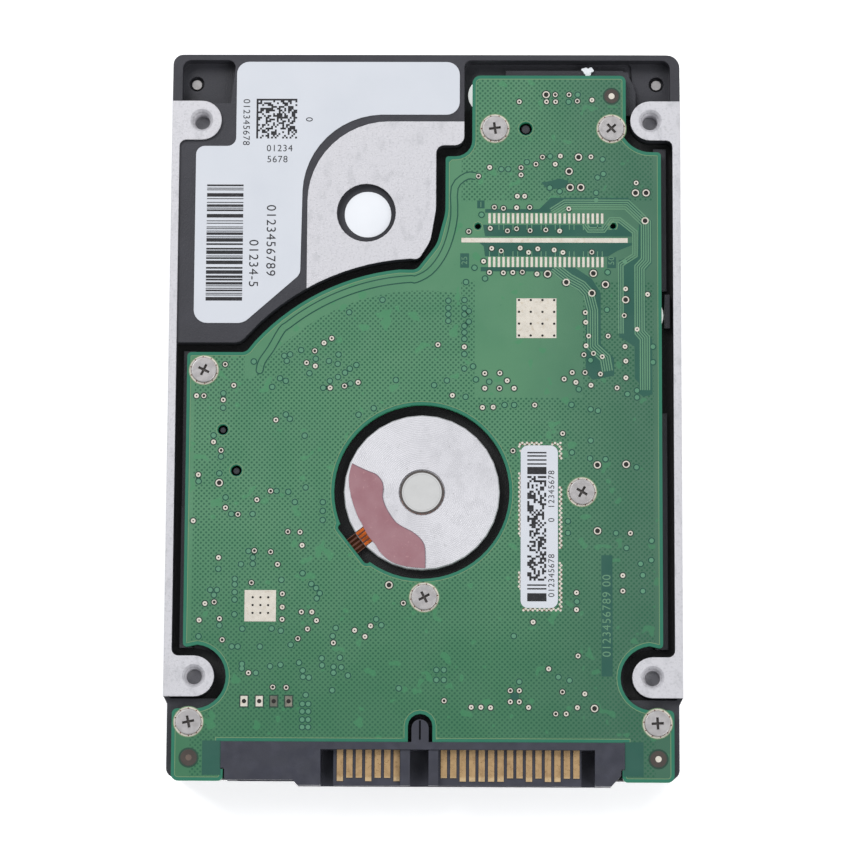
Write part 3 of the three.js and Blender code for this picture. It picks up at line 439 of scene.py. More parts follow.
COATED = coated_casting()
TURNED = machined_aluminium()
COVER = brushed("cover_steel", srgb(196, 197, 200), srgb(160, 161, 165), (0.06, 1, 1))
CORE = brushed("core_steel", srgb(170, 170, 172), srgb(120, 120, 124), (1, 1, 0.2))
SCREW = screw_steel()
DISK = polished("disk_mirror", srgb(232, 232, 236), srgb(214, 216, 224))
MAGNET = polished("magnet_nickel", srgb(200, 197, 188), srgb(170, 166, 154), (0.12, 0.25))
WIRE = coil_wire()
GOLD = gold_contacts()
SHELL = plastic("connector_plastic", srgb(46, 47, 56), srgb(56, 57, 68), (0.4, 0.6), 0.2, 0.35)
EPOXY = plastic("chip_epoxy", srgb(36, 36, 38), srgb(52, 52, 54), (0.55, 0.7), 0.1)
INNER = plastic("inner_plastic", srgb(222, 214, 190), srgb(200, 190, 160), (0.4, 0.55))
RUBBER = plastic("gasket_rubber", srgb(26, 26, 27), srgb(44, 44, 45), (0.7, 0.85), 0.15, 0.3)
FOAM = plastic("foam_sheet", srgb(44, 44, 47), srgb(62, 62, 66), (0.8, 0.95), 0.35, 0.2)
PAPER = label_paper("label_film", srgb(188, 191, 197), srgb(180, 184, 191))
SEAL = label_paper("seal_film", srgb(212, 214, 218), srgb(198, 201, 206))
# The port seals emit light: painted light, so that they look lit though they lie in shade under the board.
PORT_SEAL = label_paper("port_seal_film", srgb(250, 250, 251), srgb(242, 242, 244), 0.5)
FLEX = flex_film()
INK = ink("label_ink", srgb(30, 30, 33), srgb(70, 70, 74))
RIM_GREEN = solder_mask("mask_over_laminate", MASK_BARE, srgb(46, 110, 86), laminate=True)
POUR_GREEN = solder_mask("mask_over_copper", MASK_COPPER, srgb(68, 114, 86), hatched=True, copper=True)
WHOLE_GREEN = solder_mask("mask_over_whole_copper", MASK_COPPER, srgb(68, 114, 86), copper=True)
DEEP_GREEN = solder_mask("mask_between_tracks", MASK_DEEP, srgb(46, 88, 74))
RING_GREEN = solder_mask("mask_round_holes", MASK_RING, srgb(46, 70, 58))
COVERED_GREEN = solder_mask("mask_in_covered_holes", srgb(82, 128, 102), srgb(74, 118, 94))
VIA_GREEN = solder_mask("mask_over_holes", MASK_VIA, srgb(34, 76, 64))
TRACK_GREEN = solder_mask("mask_over_track", MASK_TRACK, srgb(86, 126, 98))
EDGE_GREEN = solder_mask("mask_over_copper_edge", MASK_EDGE, srgb(96, 126, 94))
TIN = tinned()
HOLE_SHADE = drilled()
BARE_LAMINATE = plastic("bare_laminate", srgb(52, 44, 39), srgb(66, 56, 49), (0.45, 0.6))
COPPER_FOIL = brushed("copper_foil", srgb(206, 104, 44), srgb(150, 70, 28))
TAIL_FILM = plastic("tail_film", srgb(80, 38, 18), srgb(60, 30, 14), (0.3, 0.45))
RUST = plastic("land_holes", srgb(116, 70, 56), srgb(80, 50, 42), (0.5, 0.7))
DARK_FOIL = brushed("shaded_foil", srgb(62, 32, 17), srgb(44, 24, 13))
FILM_EDGE = plastic("film_edge", srgb(104, 84, 94), srgb(122, 96, 104), (0.4, 0.5))
FAINT = plastic("faint_copper", srgb(84, 70, 62), srgb(96, 80, 70), (0.45, 0.6))
GROOVE = plastic("groove_shadow", srgb(62, 56, 54), srgb(78, 72, 68), (0.5, 0.7))
CAP_EDGE = plastic("cap_edge", srgb(168, 168, 168), srgb(182, 182, 180), (0.4, 0.5))
END_CAP = plastic("end_cap_steel", srgb(180, 180, 179), srgb(172, 172, 171), (0.4, 0.5), 0.4)
DULL_SOLDER = plastic("dull_solder", srgb(84, 84, 76), srgb(168, 160, 142), (0.4, 0.6), 0.3)

FINISH_OF_SLOT = {
    "coated_casting": COATED, "machined_aluminium": TURNED, "cover_steel": COVER, "screw_steel": SCREW,
    "core_steel": CORE, "disk_mirror": DISK, "magnet_nickel": MAGNET, "copper_wire": WIRE,
    "contact_gold": GOLD, "board_green": RIM_GREEN, "connector_plastic": SHELL, "chip_epoxy": EPOXY,
    "inner_plastic": INNER, "gasket_rubber": RUBBER, "foam_sheet": FOAM, "label_film": PAPER,
    "seal_film": SEAL, "flex_film": FLEX,
}


def coat(mesh, material):
    mesh.materials.clear()
    mesh.materials.append(material)


def finish_the_frame():
    for part in frame["record"]["subparts"]:
        coat(NODES[part["node"]].data, FINISH_OF_SLOT[part["material_slot"]])
    own = {"motor_end_cap": END_CAP, "servo_port_seal": PORT_SEAL, "breather_seal": PORT_SEAL}
    for node, finish in own.items():
        coat(NODES[node].data, finish)


# ---- Flat shapes, in millimetres -----------------------------------------------------------------


def polar(centre, radius, degrees):
    angle = math.radians(degrees)
    return centre[0] + radius * math.cos(angle), centre[1] + radius * math.sin(angle)


def circle(centre, radius, sides=24):
    return [polar(centre, radius, 360 * i / sides) for i in range(sides)]


def rectangle(x0, x1, y0, y1):
    return [(x0, y0), (x1, y0), (x1, y1), (x0, y1)]


def ring(centre, inner, outer, sides=24):
    """A flat ring, as one four-sided face per step."""
    a, b = circle(centre, inner, sides), circle(centre, outer, sides)
    return [[a[i], b[i], b[(i + 1) % sides], a[(i + 1) % sides]] for i in range(sides)]


def aside(points, distance):
    """A path moved to its left by a distance, its corners kept sharp."""
    moved = []
    for i, here in enumerate(points):
        p = Vector(here)
        before = (p - Vector(points[i - 1])).normalized() if i else None
        after = (Vector(points[i + 1]) - p).normalized() if i + 1 < len(points) else None
        before, after = before or after, after or before
        n0, n1 = Vector((-before.y, before.x)), Vector((-after.y, after.x))
        out = (n0 + n1).normalized()
        moved.append(tuple(p + out * (distance / max(out.dot(n0), 0.35))))
    return moved


def stroke(points, width):
    """A path drawn with a width, as one face per straight."""
    left, right = aside(points, width / 2), aside(points, -width / 2)
    return [[right[i], right[i + 1], left[i + 1], left[i]] for i in range(len(points) - 1)]


def smooth(points, steps=6):
    """A curve through the points, as short straights."""
    curve = []
    ends = [points[0]] + list(points) + [points[-1]]
    for a, b, c, d in zip(ends, ends[1:], ends[2:], ends[3:]):
        for k in range(steps):
            t = k / steps
            curve.append(tuple(
                0.5 * (2 * q + (r - p) * t + (2 * p - 5 * q + 4 * r - u) * t ** 2
                       + (3 * q - p - 3 * r + u) * t ** 3)
                for p, q, r, u in zip(a, b, c, d)
            ))
    return curve + [points[-1]]


def area(loop):
    return sum(a[0] * b[1] - b[0] * a[1] for a, b in zip(loop, loop[1:] + loop[:1])) / 2


def gap_to(point, loop):
    """The distance from a point to a closed outline."""
    p = Vector(point)
    best = math.inf
    for a, b in zip(loop, loop[1:] + loop[:1]):
        start, along = Vector(a), Vector(b) - Vector(a)
        t = max(0.0, min(1.0, (p - start).dot(along) / max(along.length_squared, 1e-12)))
        best = min(best, (p - start - along * t).length)
    return best


def spaced(loop, step):
    """A closed outline with extra points, so that no straight is longer than a step."""
    points = []
    for a, b in zip(loop, loop[1:] + loop[:1]):
        start, along = Vector(a), Vector(b) - Vector(a)
        count = max(1, math.ceil(along.length / step))
        points += [tuple(start + along * (k / count)) for k in range(count)]
    return points


def grown(loop, distance):
    """A closed outline moved outwards by a distance, or inwards if it is below 0."""
    sign = -1 if area(loop) > 0 else 1
    points = spaced(loop, 0.5)
    closed = [points[-1]] + points + [points[0]]
    moved = aside(closed, sign * distance)[1:-1]
    return [point for point in moved if gap_to(point, loop) > abs(distance) - 0.02]


def top_loops(node):
    """The outlines of a CAD node's top face, the largest first."""
    mesh = NODES[node].data
    top = max(v.co.z for v in mesh.vertices)
    edges = {}
    for face in mesh.polygons:
        corners = [mesh.vertices[i].co for i in face.vertices]
        if all(abs(c.z - top) < 1e-6 for c in corners):
            keys = [(round(c.x / MM, 4), round(c.y / MM, 4)) for c in corners]
            for a, b in zip(keys, keys[1:] + keys[:1]):
                if (b, a) in edges:
                    del edges[(b, a)]
                else:
                    edges[(a, b)] = True
    following = {a: b for a, b in edges}
    loops = []
    while following:
        start = next(iter(following))
        loop = [start]
        while following.get(loop[-1]) is not None:
            onward = following.pop(loop[-1])
            if onward == start:
                break
            loop.append(onward)
        loops.append(loop)
    return sorted(loops, key=lambda one: -abs(area(one)))


# ---- Pieces -------------------------------------------------------------------------------------


def placed(name, data):
    """A new object in the scene."""
    made = bpy.data.objects.new(name, data)
    bpy.context.scene.collection.objects.link(made)
    return made


def mesh_object(name, vertices, faces):
    """An object from vertices in millimetres."""
    mesh = bpy.data.meshes.new(name)
    mesh.from_pydata([[c * MM for c in v] for v in vertices], [], faces)
    mesh.update()
    return placed(name, mesh)


def evaluated(drawn):
    """The mesh that an object comes to, with the object itself taken away."""
    bpy.context.view_layer.update()
    graph = bpy.context.evaluated_depsgraph_get()
    mesh = bpy.data.meshes.new_from_object(drawn.evaluated_get(graph))
    bpy.data.objects.remove(drawn)
    return mesh


def piece(name, vertices, faces, material, body="chassis"):
    made = mesh_object(name, vertices, faces)
    made.data.materials.append(material)
    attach(made, body)
    return made


# The step in height between neighbouring shapes of one film.
STEP = 0.0015


def film(name, shapes, level, thickness, material):
    """Thin flat shapes that lie on a surface: their tops and their edges down to it.

    Neighbouring shapes differ by a step in height, so that tops that overlap don't share a plane.
    """
    vertices, faces = [], []
    for n, shape in enumerate(shapes):
        if area(shape) < 0:
            shape = shape[::-1]
        start, count = len(vertices), len(shape)
        vertices += [(x, y, level + thickness + STEP * (n % 3)) for x, y in shape]
        vertices += [(x, y, level) for x, y in shape]
        faces.append(list(range(start, start + count)))
        for i in range(count):
            j = (i + 1) % count
            faces.append([start + j, start + i, start + count + i, start + count + j])
    return piece(name, vertices, faces, material)


def filled(name, loops, level, thickness, material):
    """A thin plate with holes: the first outline is its edge and the others are its holes."""
    curve = bpy.data.curves.new(name, "CURVE")
    curve.dimensions = "2D"
    curve.fill_mode = "BOTH"
    curve.extrude = thickness / 2 * MM
    for loop in loops:
        spline = curve.splines.new("POLY")
        spline.points.add(len(loop) - 1)
        for point, (x, y) in zip(spline.points, loop):
            point.co = (x * MM, y * MM, 0, 1)
        spline.use_cyclic_u = True
    mesh = evaluated(placed(name + ".drawn", curve))
    mesh.transform(Matrix.Translation((0, 0, (level + thickness / 2) * MM)))
    coat(mesh, material)
    made = placed(name, mesh)
    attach(made, "chassis")
    return made


# ---- Camera, floor and light ---------------------------------------------------------------------

EYE = (7.5, -74.0, 485.0)
AIM = (0.1, -1.95, 9.5)
LENS = 150.0
SENSOR = 36.0
CAMERA_ROLL = 0.003
FLOOR_LEVEL = -0.05
FLOOR_REACH = 2500


def aim(made, target):
    made.rotation_euler = (Vector(target) * MM - made.location).to_track_quat("-Z", "Y").to_euler()


def camera():
    lens = bpy.data.cameras.new("camera")
    lens.lens = LENS
    lens.sensor_width = SENSOR
    lens.clip_start = 0.01
    made = placed("camera", lens)
    made.location = [c * MM for c in EYE]
    ahead = (Vector(AIM) - Vector(EYE)).normalized()
    right = Vector((1.0, CAMERA_ROLL, 0.0))
    right = (right - ahead * right.dot(ahead)).normalized()
    up = right.cross(ahead)
    turn = Matrix((right, up, -ahead)).transposed()
    made.rotation_euler = turn.to_euler()
    bpy.context.scene.camera = made


def softbox(name, place, size, power, target=(0, 0, 0)):
    light = bpy.data.lights.new(name, "AREA")
    light.shape = "RECTANGLE"
    light.size, light.size_y = size[0] * MM, size[1] * MM
    light.energy = power
    made = placed(name, light)
    made.location = [c * MM for c in place]
    aim(made, target)


def studio():
    s = Surface("floor_paint", srgb(250, 250, 250), roughness=0.8, specular=0.2)
    s.tint(s.ramp(s.noise(60.0), 0.3, 0.8, 0.0, 0.3), srgb(246, 246, 247))
    s.relief(s.noise(2.0), 0.01)
    s.bsdf.inputs["Emission Color"].default_value = srgb(255, 255, 255)
    s.bsdf.inputs["Emission Strength"].default_value = 0.3
    corners = rectangle(-FLOOR_REACH, FLOOR_REACH, -FLOOR_REACH, FLOOR_REACH)
    floor = mesh_object("floor", [(x, y, FLOOR_LEVEL) for x, y in corners], [[0, 1, 2, 3]])
    floor.data.materials.append(s.material)
    softbox("key", (-560, 560, 760), (620, 620), 9.0)
    softbox("fill", (600, -420, 720), (620, 620), 5.5)
    softbox("rim", (520, 600, 700), (500, 500), 2.6)
    world = bpy.data.worlds.new("studio")
    world.use_nodes = True
    world.node_tree.nodes["Background"].inputs["Color"].default_value = srgb(240, 243, 248)
    world.node_tree.nodes["Background"].inputs["Strength"].default_value = 0.5
    bpy.context.scene.world = world
    bpy.context.scene.view_settings.view_transform = "Standard"


# ---- What is on the circuit board ------------------------------------------------------------------

# Heights of the tops of the films above the board, the lowest first.
POUR, COLLAR, FIELD, GAP, TRACK, PAD, MARK = 0.02, 0.0245, 0.029, 0.04, 0.045, 0.05, 0.056


def on_board(name, shapes, thickness, material):
    return film(name, shapes, BOARD_TOP, thickness, material)


def board_copper():
    """The hatched copper fills the board up to a margin along its edge and round its holes."""
    outer, *holes = top_loops("circuit_board")
    margins = [grown(outer, -0.5)]
    for hole in holes:
        if abs(area(hole)) > 0.4:
            margins.append(grown(hole, 0.45 if abs(area(hole)) > 50 else 0.17))
    filled("board_copper", margins, BOARD_TOP, POUR, POUR_GREEN)
    edges = [line for loop in margins for line in stroke(loop + loop[:1], 0.09)]
    on_board("copper_edge", edges, POUR + 0.003, EDGE_GREEN)


# Plated holes that are open, by neighbourhood, read off the picture.
OPEN_HOLES = [
    # far tab, between its two screws
    (12.85, 43.2), (17.8, 44.2), (16.6, 43.2), (17.85, 43.2), (19.7, 44.2), (20.85, 43.3), (22.85, 43.45),
    # above the head connector
    (8.8, 33.95), (13.1, 33.9), (13.1, 32.9), (15.15, 34.4), (16.05, 35.4), (18.5, 35.55), (17.8, 34.4),
    (22.7, 35.45), (28.9, 31.8), (12.6, 29.9), (13.6, 29.9), (7.25, 32.7),
    # along the head connector's rows
    (9.45, 28.35), (10.7, 28.2), (12.5, 28.3), (14.3, 28.35), (19.65, 28.15), (8.9, 25.4), (11.25, 25.05),
    (12.5, 25.35), (14.35, 25.1), (16.5, 25.2), (18.4, 25.05), (5.95, 24.95), (9.1, 22.6), (10.4, 22.25),
    (13, 22.65), (14.15, 22.05), (15.4, 22.55), (17.65, 22.4), (18.85, 22.05), (22.8, 22.1), (8, 20.8),
    (8.8, 19.25), (10.7, 19.2), (12, 19.25), (13.3, 19.3), (15.3, 19.05),
    # left side, above the motor driver
    (-27.2, 6.4), (-31.05, 2.05), (-30.05, 2.05), (-26, 3.5), (-27.4, 1.5), (-28.65, -4.3), (-27.6, -5.45),
    (-30.65, -8.8), (-20.2, -1.25), (-20.8, -11), (-22.65, -12.2), (-26.9, -13.3), (-25.2, -14.2),
    (-31.25, -15.1), (-18.4, -16.55), (-16.75, -16.6), (-12.7, 10.05), (-13.75, 9.4), (-15, 8.3),
    (-16.1, 6.65), (-14.9, 6.2), (-12.85, 3.2), (-10.9, 3.45), (-9.05, 3.95),
    # between the motor and the controller
    (1.8, 9.2), (5.4, 8.9), (8.2, 5.25), (10.25, 5.3), (11.25, 4.25), (8.2, 3.2), (10.2, 3.2), (12.2, 3.2),
    (3.8, 2.2), (7.9, 0.55), (9.35, 0.6), (15, 0.9), (18.8, -3), (12.05, -5.4),
    # right of the controller
    (19, 4.5), (20.1, 5.4), (20.6, 4.05), (21.85, 5.4), (21.7, 7.85), (22, 9.1), (23, 8.05), (22.35, 10.45),
    (25, 10.45), (21.95, 12.35), (21.9, 13.7), (23.95, 5.2), (22.65, 3.65), (26.2, 3.3), (27.4, 4.7),
    (27.4, 7), (27.3, 9), (27.2, 13.3), (27.4, 17), (28.95, 11.4), (30.4, 16.25), (24.2, 7.6),
    (27.95, -16.6),
    # round the motor driver
    (-27.75, -20.1), (-22.9, -19.15), (-20.7, -19.3), (-16.45, -18.4), (-19.75, -21), (-23.25, -23.5),
    (-29.5, -26.35), (-28.25, -26.15), (-30.25, -28.6), (-27.5, -28.4), (-27.1, -31.25), (-19.05, -25),
    (-19.05, -26.8), (-19.05, -28.45), (-16.45, -27.45), (-15.05, -27.45), (-14.4, -28.6),
    (-15.6, -29.75), (-16.9, -31.05), (-12.1, -31.6), (-9.25, -29.9), (-7.1, -29.3), (-7.85, -30.75),
    (-23.5, -35.7), (-20.2, -37.6), (-18.4, -37.65), (-2.7, -26.2),
    # behind the connector and beside the board's label
    (14.8, -28.7), (20.65, -24.7), (20.65, -27), (26.9, -22.35), (26.9, -24.45), (20.85, -33.25),
    (16.9, -35), (11.75, -37.95), (12.95, -37.95), (11.75, -39.45), (12.95, -39.45), (14.2, -40.2),
    (6.5, -40.2), (7.8, -40.2), (9.1, -40.25), (2.85, -39.35), (18.75, -38.1), (21.75, -38.35),
    (20.75, -40.2), (17.85, -41.05), (19.25, -41.05),
]
WIDE_HOLES = [
    (16.55, 44.2), (21, 35.4), (19.7, 33.4), (19.85, 31.15), (21.3, 31.15), (28.8, 30.4), (30.25, 30.4),
    (30.1, 26.5), (16.75, 19.05), (23, 19.15), (19.3, 17.9), (24.65, 17.6), (22.8, 16.4), (27.4, 15.5),
    (23.5, -7.3), (27.4, -7.2), (23.5, -16.3), (-27.8, -9.9), (-4.65, -23.75), (23.05, -40.3),
]
# Plated holes under the lacquer, which show as a dark ring.
COVERED_HOLES = [
    # far tab and round the head connector
    (19.65, 43.2), (20.9, 44.2), (10.4, 33.7), (11.35, 33.7), (13.9, 34.7), (17.1, 35.5), (17.05, 31.1),
    (18.4, 30.6), (24.3, 35.1), (24.4, 33.05), (23.6, 32.55), (23.4, 30.4), (23.4, 29.4), (7.7, 27.3),
    (5.6, 17.9), (8.2, 18.4), (6.75, 19.9), (24.95, 19.3), (27.3, 20.8),
    # left side, above the motor
    (-23.3, 6.8), (-19.15, 7.6), (-18.35, 7.8), (-18.8, 6.9), (-16.85, 8.4), (-15.7, 5.2), (-14.85, 7.2),
    (-13.05, 6.9), (-11.75, 7.8), (-11.85, 6.5), (-9.3, 6.35), (-10.2, 5.85), (-10.85, 5.3),
    (-11.8, 4.7), (-12.9, 4.15), (-13.8, 3.2), (-10.1, 3.8), (-19.7, 4.5), (-18.9, 4.15),
    (-20.75, 3.3), (-5.8, 15.4), (-10.35, 13.65), (-3.9, 4.3), (-6.9, 0.4), (-8.95, -0.5),
    (-27.4, 2.4), (-27.4, 0.4), (-28.65, -3.4), (-27.6, -6.3), (-18.85, -0.5), (-18.3, -1.1),
    (-16.25, -3.4), (-16.05, -10.5), (-18.4, -11.1), (-20, -11), (-17.5, -12.5), (-13.7, -12.5),
    (-13.7, -13.7), (-13.7, -14.95), (-27.8, -8.6), (-30.6, -9.7), (-26.9, -11.9), (-26.1, -14.15),
    (-23.2, -14.15),
    # between the motor and the controller
    (3.2, 15.3), (3.2, 14.3), (3.2, 13.4), (3.2, 12.5), (5.4, 15.4), (5.4, 14.3), (5.4, 13.4),
    (5.4, 11.8), (5.4, 10.9), (5.4, 10), (5.4, 7.9), (5.4, 5.9), (6, 13.85), (6, 12.4), (6.6, 6.2),
    (7, 4.4), (8.8, 4.1), (1.3, 3.6), (3.05, 4.25), (5.6, 2), (10.9, 0.9), (12.2, 0.9),
    # right of the controller and of the board's label
    (20, 0.95), (22.6, 0.35), (23.6, 0.15), (22.6, -3.95), (20.05, -5.6), (22.5, -6.4), (24.6, -6.5),
    (28.8, -7.6), (21, 3.1), (22.6, 7.1), (24.85, 14.1), (31.1, 9), (31.1, 6.85), (27.6, 2.45),
    (28.9, 2.95), (28.9, 2), (19.5, -15), (19.5, -16.6), (26, -16.6), (30.8, -17.6), (27.4, -18.6),
    (30.75, -20.25), (29.3, -20.75), (29.6, -22.3), (29.6, -24.45), (20.7, -25.9),
    # round the motor driver
    (-23.7, -19.2), (-23.1, -20.1), (-23.1, -20.95), (-24.7, -21), (-27.75, -21.65), (-25.5, -23),
    (-25.5, -23.75), (-25.5, -24.8), (-25.5, -25.8), (-25.5, -27.8), (-28.8, -24.5), (-27.9, -24.5),
    (-28.3, -25.2), (-19.2, -23.1), (-16.35, -22.2), (-15.15, -23.65), (-14.5, -24.2), (-14, -24.9),
    (-14.4, -25.6), (-27.5, -29.3), (-30.3, -30.8), (-25.8, -32.15), (-25, -32.15), (-22, -32.15),
    (-24.4, -29.75), (-20.45, -29.7), (-19.2, -30), (-17.85, -31.9), (-11.8, -29.6), (-12.2, -30.7),
    (-6.35, -28.4), (-5.65, -29.2), (-24.4, -34.5), (-24.4, -35.1), (-22.5, -35.7), (-20.6, -34.8),
    (-19.2, -34.6), (-16.7, -34.3), (-16.2, -35.35), (-16.15, -36.2), (-15.35, -36.3), (-13.65, -33.7),
    (-13.6, -34.65), (-11.2, -33.6), (-12.05, -34.85), (-11, -34.9), (-12.05, -35.65), (-10.1, -36),
    (-12.2, -38), (-15.75, -38.65), (-16.2, -39.85), (-15.4, -39.85), (-16.2, -40.85), (-15.4, -40.85),
    (-16.2, -41.95), (-15.4, -41.95), (-16.2, -42.95), (-15.4, -42.95), (-3.25, -37.7),
    # behind the connector
    (1.8, -35.2), (2.8, -35.2), (1.8, -36.55), (2.8, -36.55), (12.2, -30.6), (12.95, -36.75),
    (18.2, -36.1), (19.7, -36.55),
]
FIDUCIALS = [(25.55, 44.0, 1.2, "tinned"), (-31.4, -47.1, 1.35, "bare"), (31.6, -47.05, 1.35, "tinned")]


def within(point, loop):
    """Whether a point lies inside a loop."""
    x, y = point
    inside = False
    for (x0, y0), (x1, y1) in zip(loop, loop[1:] + loop[:1]):
        if (y0 > y) != (y1 > y) and x < x0 + (x1 - x0) * (y - y0) / (y1 - y0):
            inside = not inside
    return inside


def in_routed_field(point):
    return any(within(point, field) for field in ROUTED_FIELDS)


def plated_holes():
    dark, tin, deep, plain = [], [], [], []
    for centres, inner, outer, sides in ((OPEN_HOLES, 0.15, 0.32, 16), (WIDE_HOLES, 0.33, 0.49, 20)):
        for centre in centres:
            bore = inner * random.choice((0.7, 1.0, 1.3)) if centres is OPEN_HOLES else inner
            plain.append(circle(centre, outer + 0.26, sides))
            deep.append(circle(centre, outer + 0.17, sides))
            tin += ring(centre, bore, outer, sides)
            dark.append(circle(centre, bore, sides))
    rims, middles = [], []
    for centre in COVERED_HOLES:
        plain.append(circle(centre, 0.58, 16))
        rims.append(circle(centre, 0.46, 20))
        middles.append(circle(centre, 0.31, 20))
    in_fields = [centre for centre in OPEN_HOLES + WIDE_HOLES + COVERED_HOLES if in_routed_field(centre)]
    plain = [shape for shape in plain if not any(within(centre, shape) for centre in in_fields)]
    on_board("copper_round_holes", plain, COLLAR, WHOLE_GREEN)
    on_board("covered_hole_rims", rims, FIELD + 0.006, VIA_GREEN)
    on_board("covered_holes", middles, FIELD + 0.011, COVERED_GREEN)
    on_board("hole_margins", deep, GAP + 0.001, RING_GREEN)
    on_board("hole_rims", tin, PAD, TIN)
    on_board("hole_bores", dark, PAD, HOLE_SHADE)


def fiducials():
    for x, y, radius, dot in FIDUCIALS:
        tag = f"fiducial_{int(x)}_{int(y)}".replace("-", "m")
        on_board(tag + "_bare", [circle((x, y), radius * 0.82, 28)], TRACK, BARE_LAMINATE)
        on_board(tag + "_margin", ring((x, y), radius * 0.78, radius, 28), GAP, RING_GREEN)
        on_board(tag + "_dot", [circle((x, y), 0.42, 20)], PAD, TIN if dot == "tinned" else FAINT)


def screw_lands():
    """Bare copper rings under the screw heads, with small holes round them."""
    lands, pricks, margins = [], [], []
    for n, centre in enumerate(BOARD_SCREWS):
        margins.append(circle(centre, 2.1, 40))
        lands += ring(centre, 1.2, 1.98, 40)
        pricks += [circle(polar(centre, 1.84, 36 * k + 11 * n), 0.1, 8) for k in range(10)]
        pricks += [circle(polar(centre, 1.72, 50 * k + 17 * n), 0.08, 8) for k in range(7)]
    on_board("screw_margins", margins, COLLAR, EDGE_GREEN)
    on_board("screw_lands", lands, PAD, TIN)
    on_board("screw_land_holes", pricks, MARK, RUST)


HEAD_PADS = {"first": 8.8, "pitch": 0.6425, "count": 25, "width": 0.33, "rows": ((26.1, 27.5), (20.0, 21.4))}


SQUARE_PADS = (-24.05, -22.0, -20.05, -18.05)


def bare_pads():
    row = HEAD_PADS
    half = row["width"] / 2
    pads = [rectangle(4.95, 27.7, 23.42, 24.06)]
    for k in range(row["count"]):
        x = row["first"] + k * row["pitch"]
        pads += [rectangle(x - half, x + half, *ys) for ys in row["rows"]]
    pads += [rectangle(12.5, 17.95, 10.15, 15.65), rectangle(-24.15, -19.9, -28.75, -24.5)]
    square = [rectangle(x - 0.47, x + 0.47, -40.2, -38.8) for x in SQUARE_PADS]
    on_board("bare_pads", pads + square[:2], PAD, TIN)
    on_board("soldered_pads", square[2:], PAD, DULL_SOLDER)
    on_board("square_pad_margins", [grown(pad, 0.16) for pad in square], GAP, RING_GREEN)
    pricks = [circle((12.85 + 1.6 * i, 10.5 + 1.64 * j), 0.17, 10) for i in range(4) for j in range(4)]
    pricks += [circle((-23.05 + 1.05 * i, -27.6 + 1.06 * j), 0.16, 10) for i in range(3) for j in range(3)]
    pricks += [circle((x, -39.5), 0.3, 14) for x in SQUARE_PADS]
    on_board("pad_holes", pricks, MARK, HOLE_SHADE)


# Runs of the tinned land that shows beside the board's label, each from one end to the other.
LAND_RUNS = [
    ((13.0, -4.4), (15.9, -4.4)), ((17.4, -4.4), (18.5, -4.4)), ((18.5, -4.8), (18.5, -6.4)),
    ((13.0, -4.8), (13.0, -5.4)), ((13.0, -8.5), (13.0, -17.0)), ((13.0, -22.0), (13.0, -24.2)),
    ((18.5, -10.4), (18.5, -18.6)), ((18.5, -20.7), (18.5, -26.6)), ((13.5, -27.0), (18.5, -27.0)),
]


def label_land():
    """Two staggered rows of small squares, with brown specks between them."""
    squares, specks = [], []
    for start, end in LAND_RUNS:
        run = Vector(end) - Vector(start)
        out = Vector((run.y, -run.x)).normalized()
        steps = int(run.length / 0.31)
        for k in range(steps + 1):
            for row in (-1, 1):
                at = Vector(start) + run * (k / max(steps, 1)) + out * (0.1 * row)
                if (k + (row > 0)) % 2:
                    squares.append(circle(tuple(at), 0.17, 8))
                elif random.random() < 0.6:
                    specks.append(circle(tuple(at), 0.09, 8))
    on_board("label_land", squares, PAD, TIN)
    on_board("label_land_specks", specks, MARK, RUST)


# Where tracks run, the copper is cut away and the lacquer looks darker.
ROUTED_FIELDS = [
    # between the first row of pads and the bar
    [(7.9, 25.9), (8.2, 24.3), (28.3, 24.3), (28.2, 25.1), (27.3, 26.0), (26.5, 26.5), (26.3, 25.3),
     (25.0, 25.2), (24.9, 25.9)],
    # above the first row, and between the bar and the second row
    [(8.2, 27.6), (17.0, 27.6), (18.9, 28.7), (27.4, 28.7), (29.3, 26.9), (29.6, 27.6), (27.8, 29.7),
     (17.2, 29.7), (15.6, 28.1), (8.2, 28.1)],
    [(8.0, 22.9), (8.2, 21.5), (25.0, 21.5), (26.3, 22.3), (28.3, 23.1), (28.3, 23.4), (7.4, 23.4)],
    [(7.6, 20.0), (7.6, 19.4), (17.6, 19.4), (19.0, 17.9), (20.7, 17.0), (21.9, 15.6), (24.0, 16.4),
     (22.8, 18.4), (20.4, 20.0)],
    # down the right side, and beside the controller
    [(26.5, 21.0), (26.5, 10.4), (27.4, 9.8), (28.6, 9.0), (28.6, 4.6), (29.2, 4.0), (29.2, 2.5),
     (29.8, 2.1), (31.0, 2.4), (31.0, 10.0), (30.1, 11.3), (30.1, 19.6), (31.0, 20.6), (31.0, 26.6),
     (29.3, 27.1), (29.1, 21.4)],
    [(21.9, 15.6), (22.0, 8.6), (21.9, 5.4), (22.9, 4.4), (25.8, 5.0), (25.8, 7.4), (24.0, 9.3),
     (24.0, 16.4)],
    [(15.9, 31.9), (16.4, 31.2), (17.6, 30.9), (19.6, 31.2), (19.6, 32.1), (18.4, 32.4), (17.3, 32.1),
     (16.4, 31.9)],
    # beside the connector's ends, behind the board's number, and the row marks
    rectangle(-29.6, -27.1, -49.4, -44.8), rectangle(26.9, 29.6, -49.4, -44.8),
    rectangle(24.0, 25.5, -36.0, -19.6), rectangle(7.1, 8.1, 28.2, 29.3),
    rectangle(4.8, 6.0, 19.9, 21.9), rectangle(24.9, 26.1, 19.9, 21.4),
    rectangle(11.8, 12.9, -39.2, -38.2),
]


def routed_fields():
    on_board("routed_fields", ROUTED_FIELDS, FIELD, DEEP_GREEN)


def bundle(path, count, pitch):
    """Tracks side by side along one path."""
    return [aside(path, (k - (count - 1) / 2) * pitch) for k in range(count)]


def arc_path(radius, start, end, steps=18):
    return [polar(MOTOR, radius, start + (end - start) * k / steps) for k in range(steps + 1)]


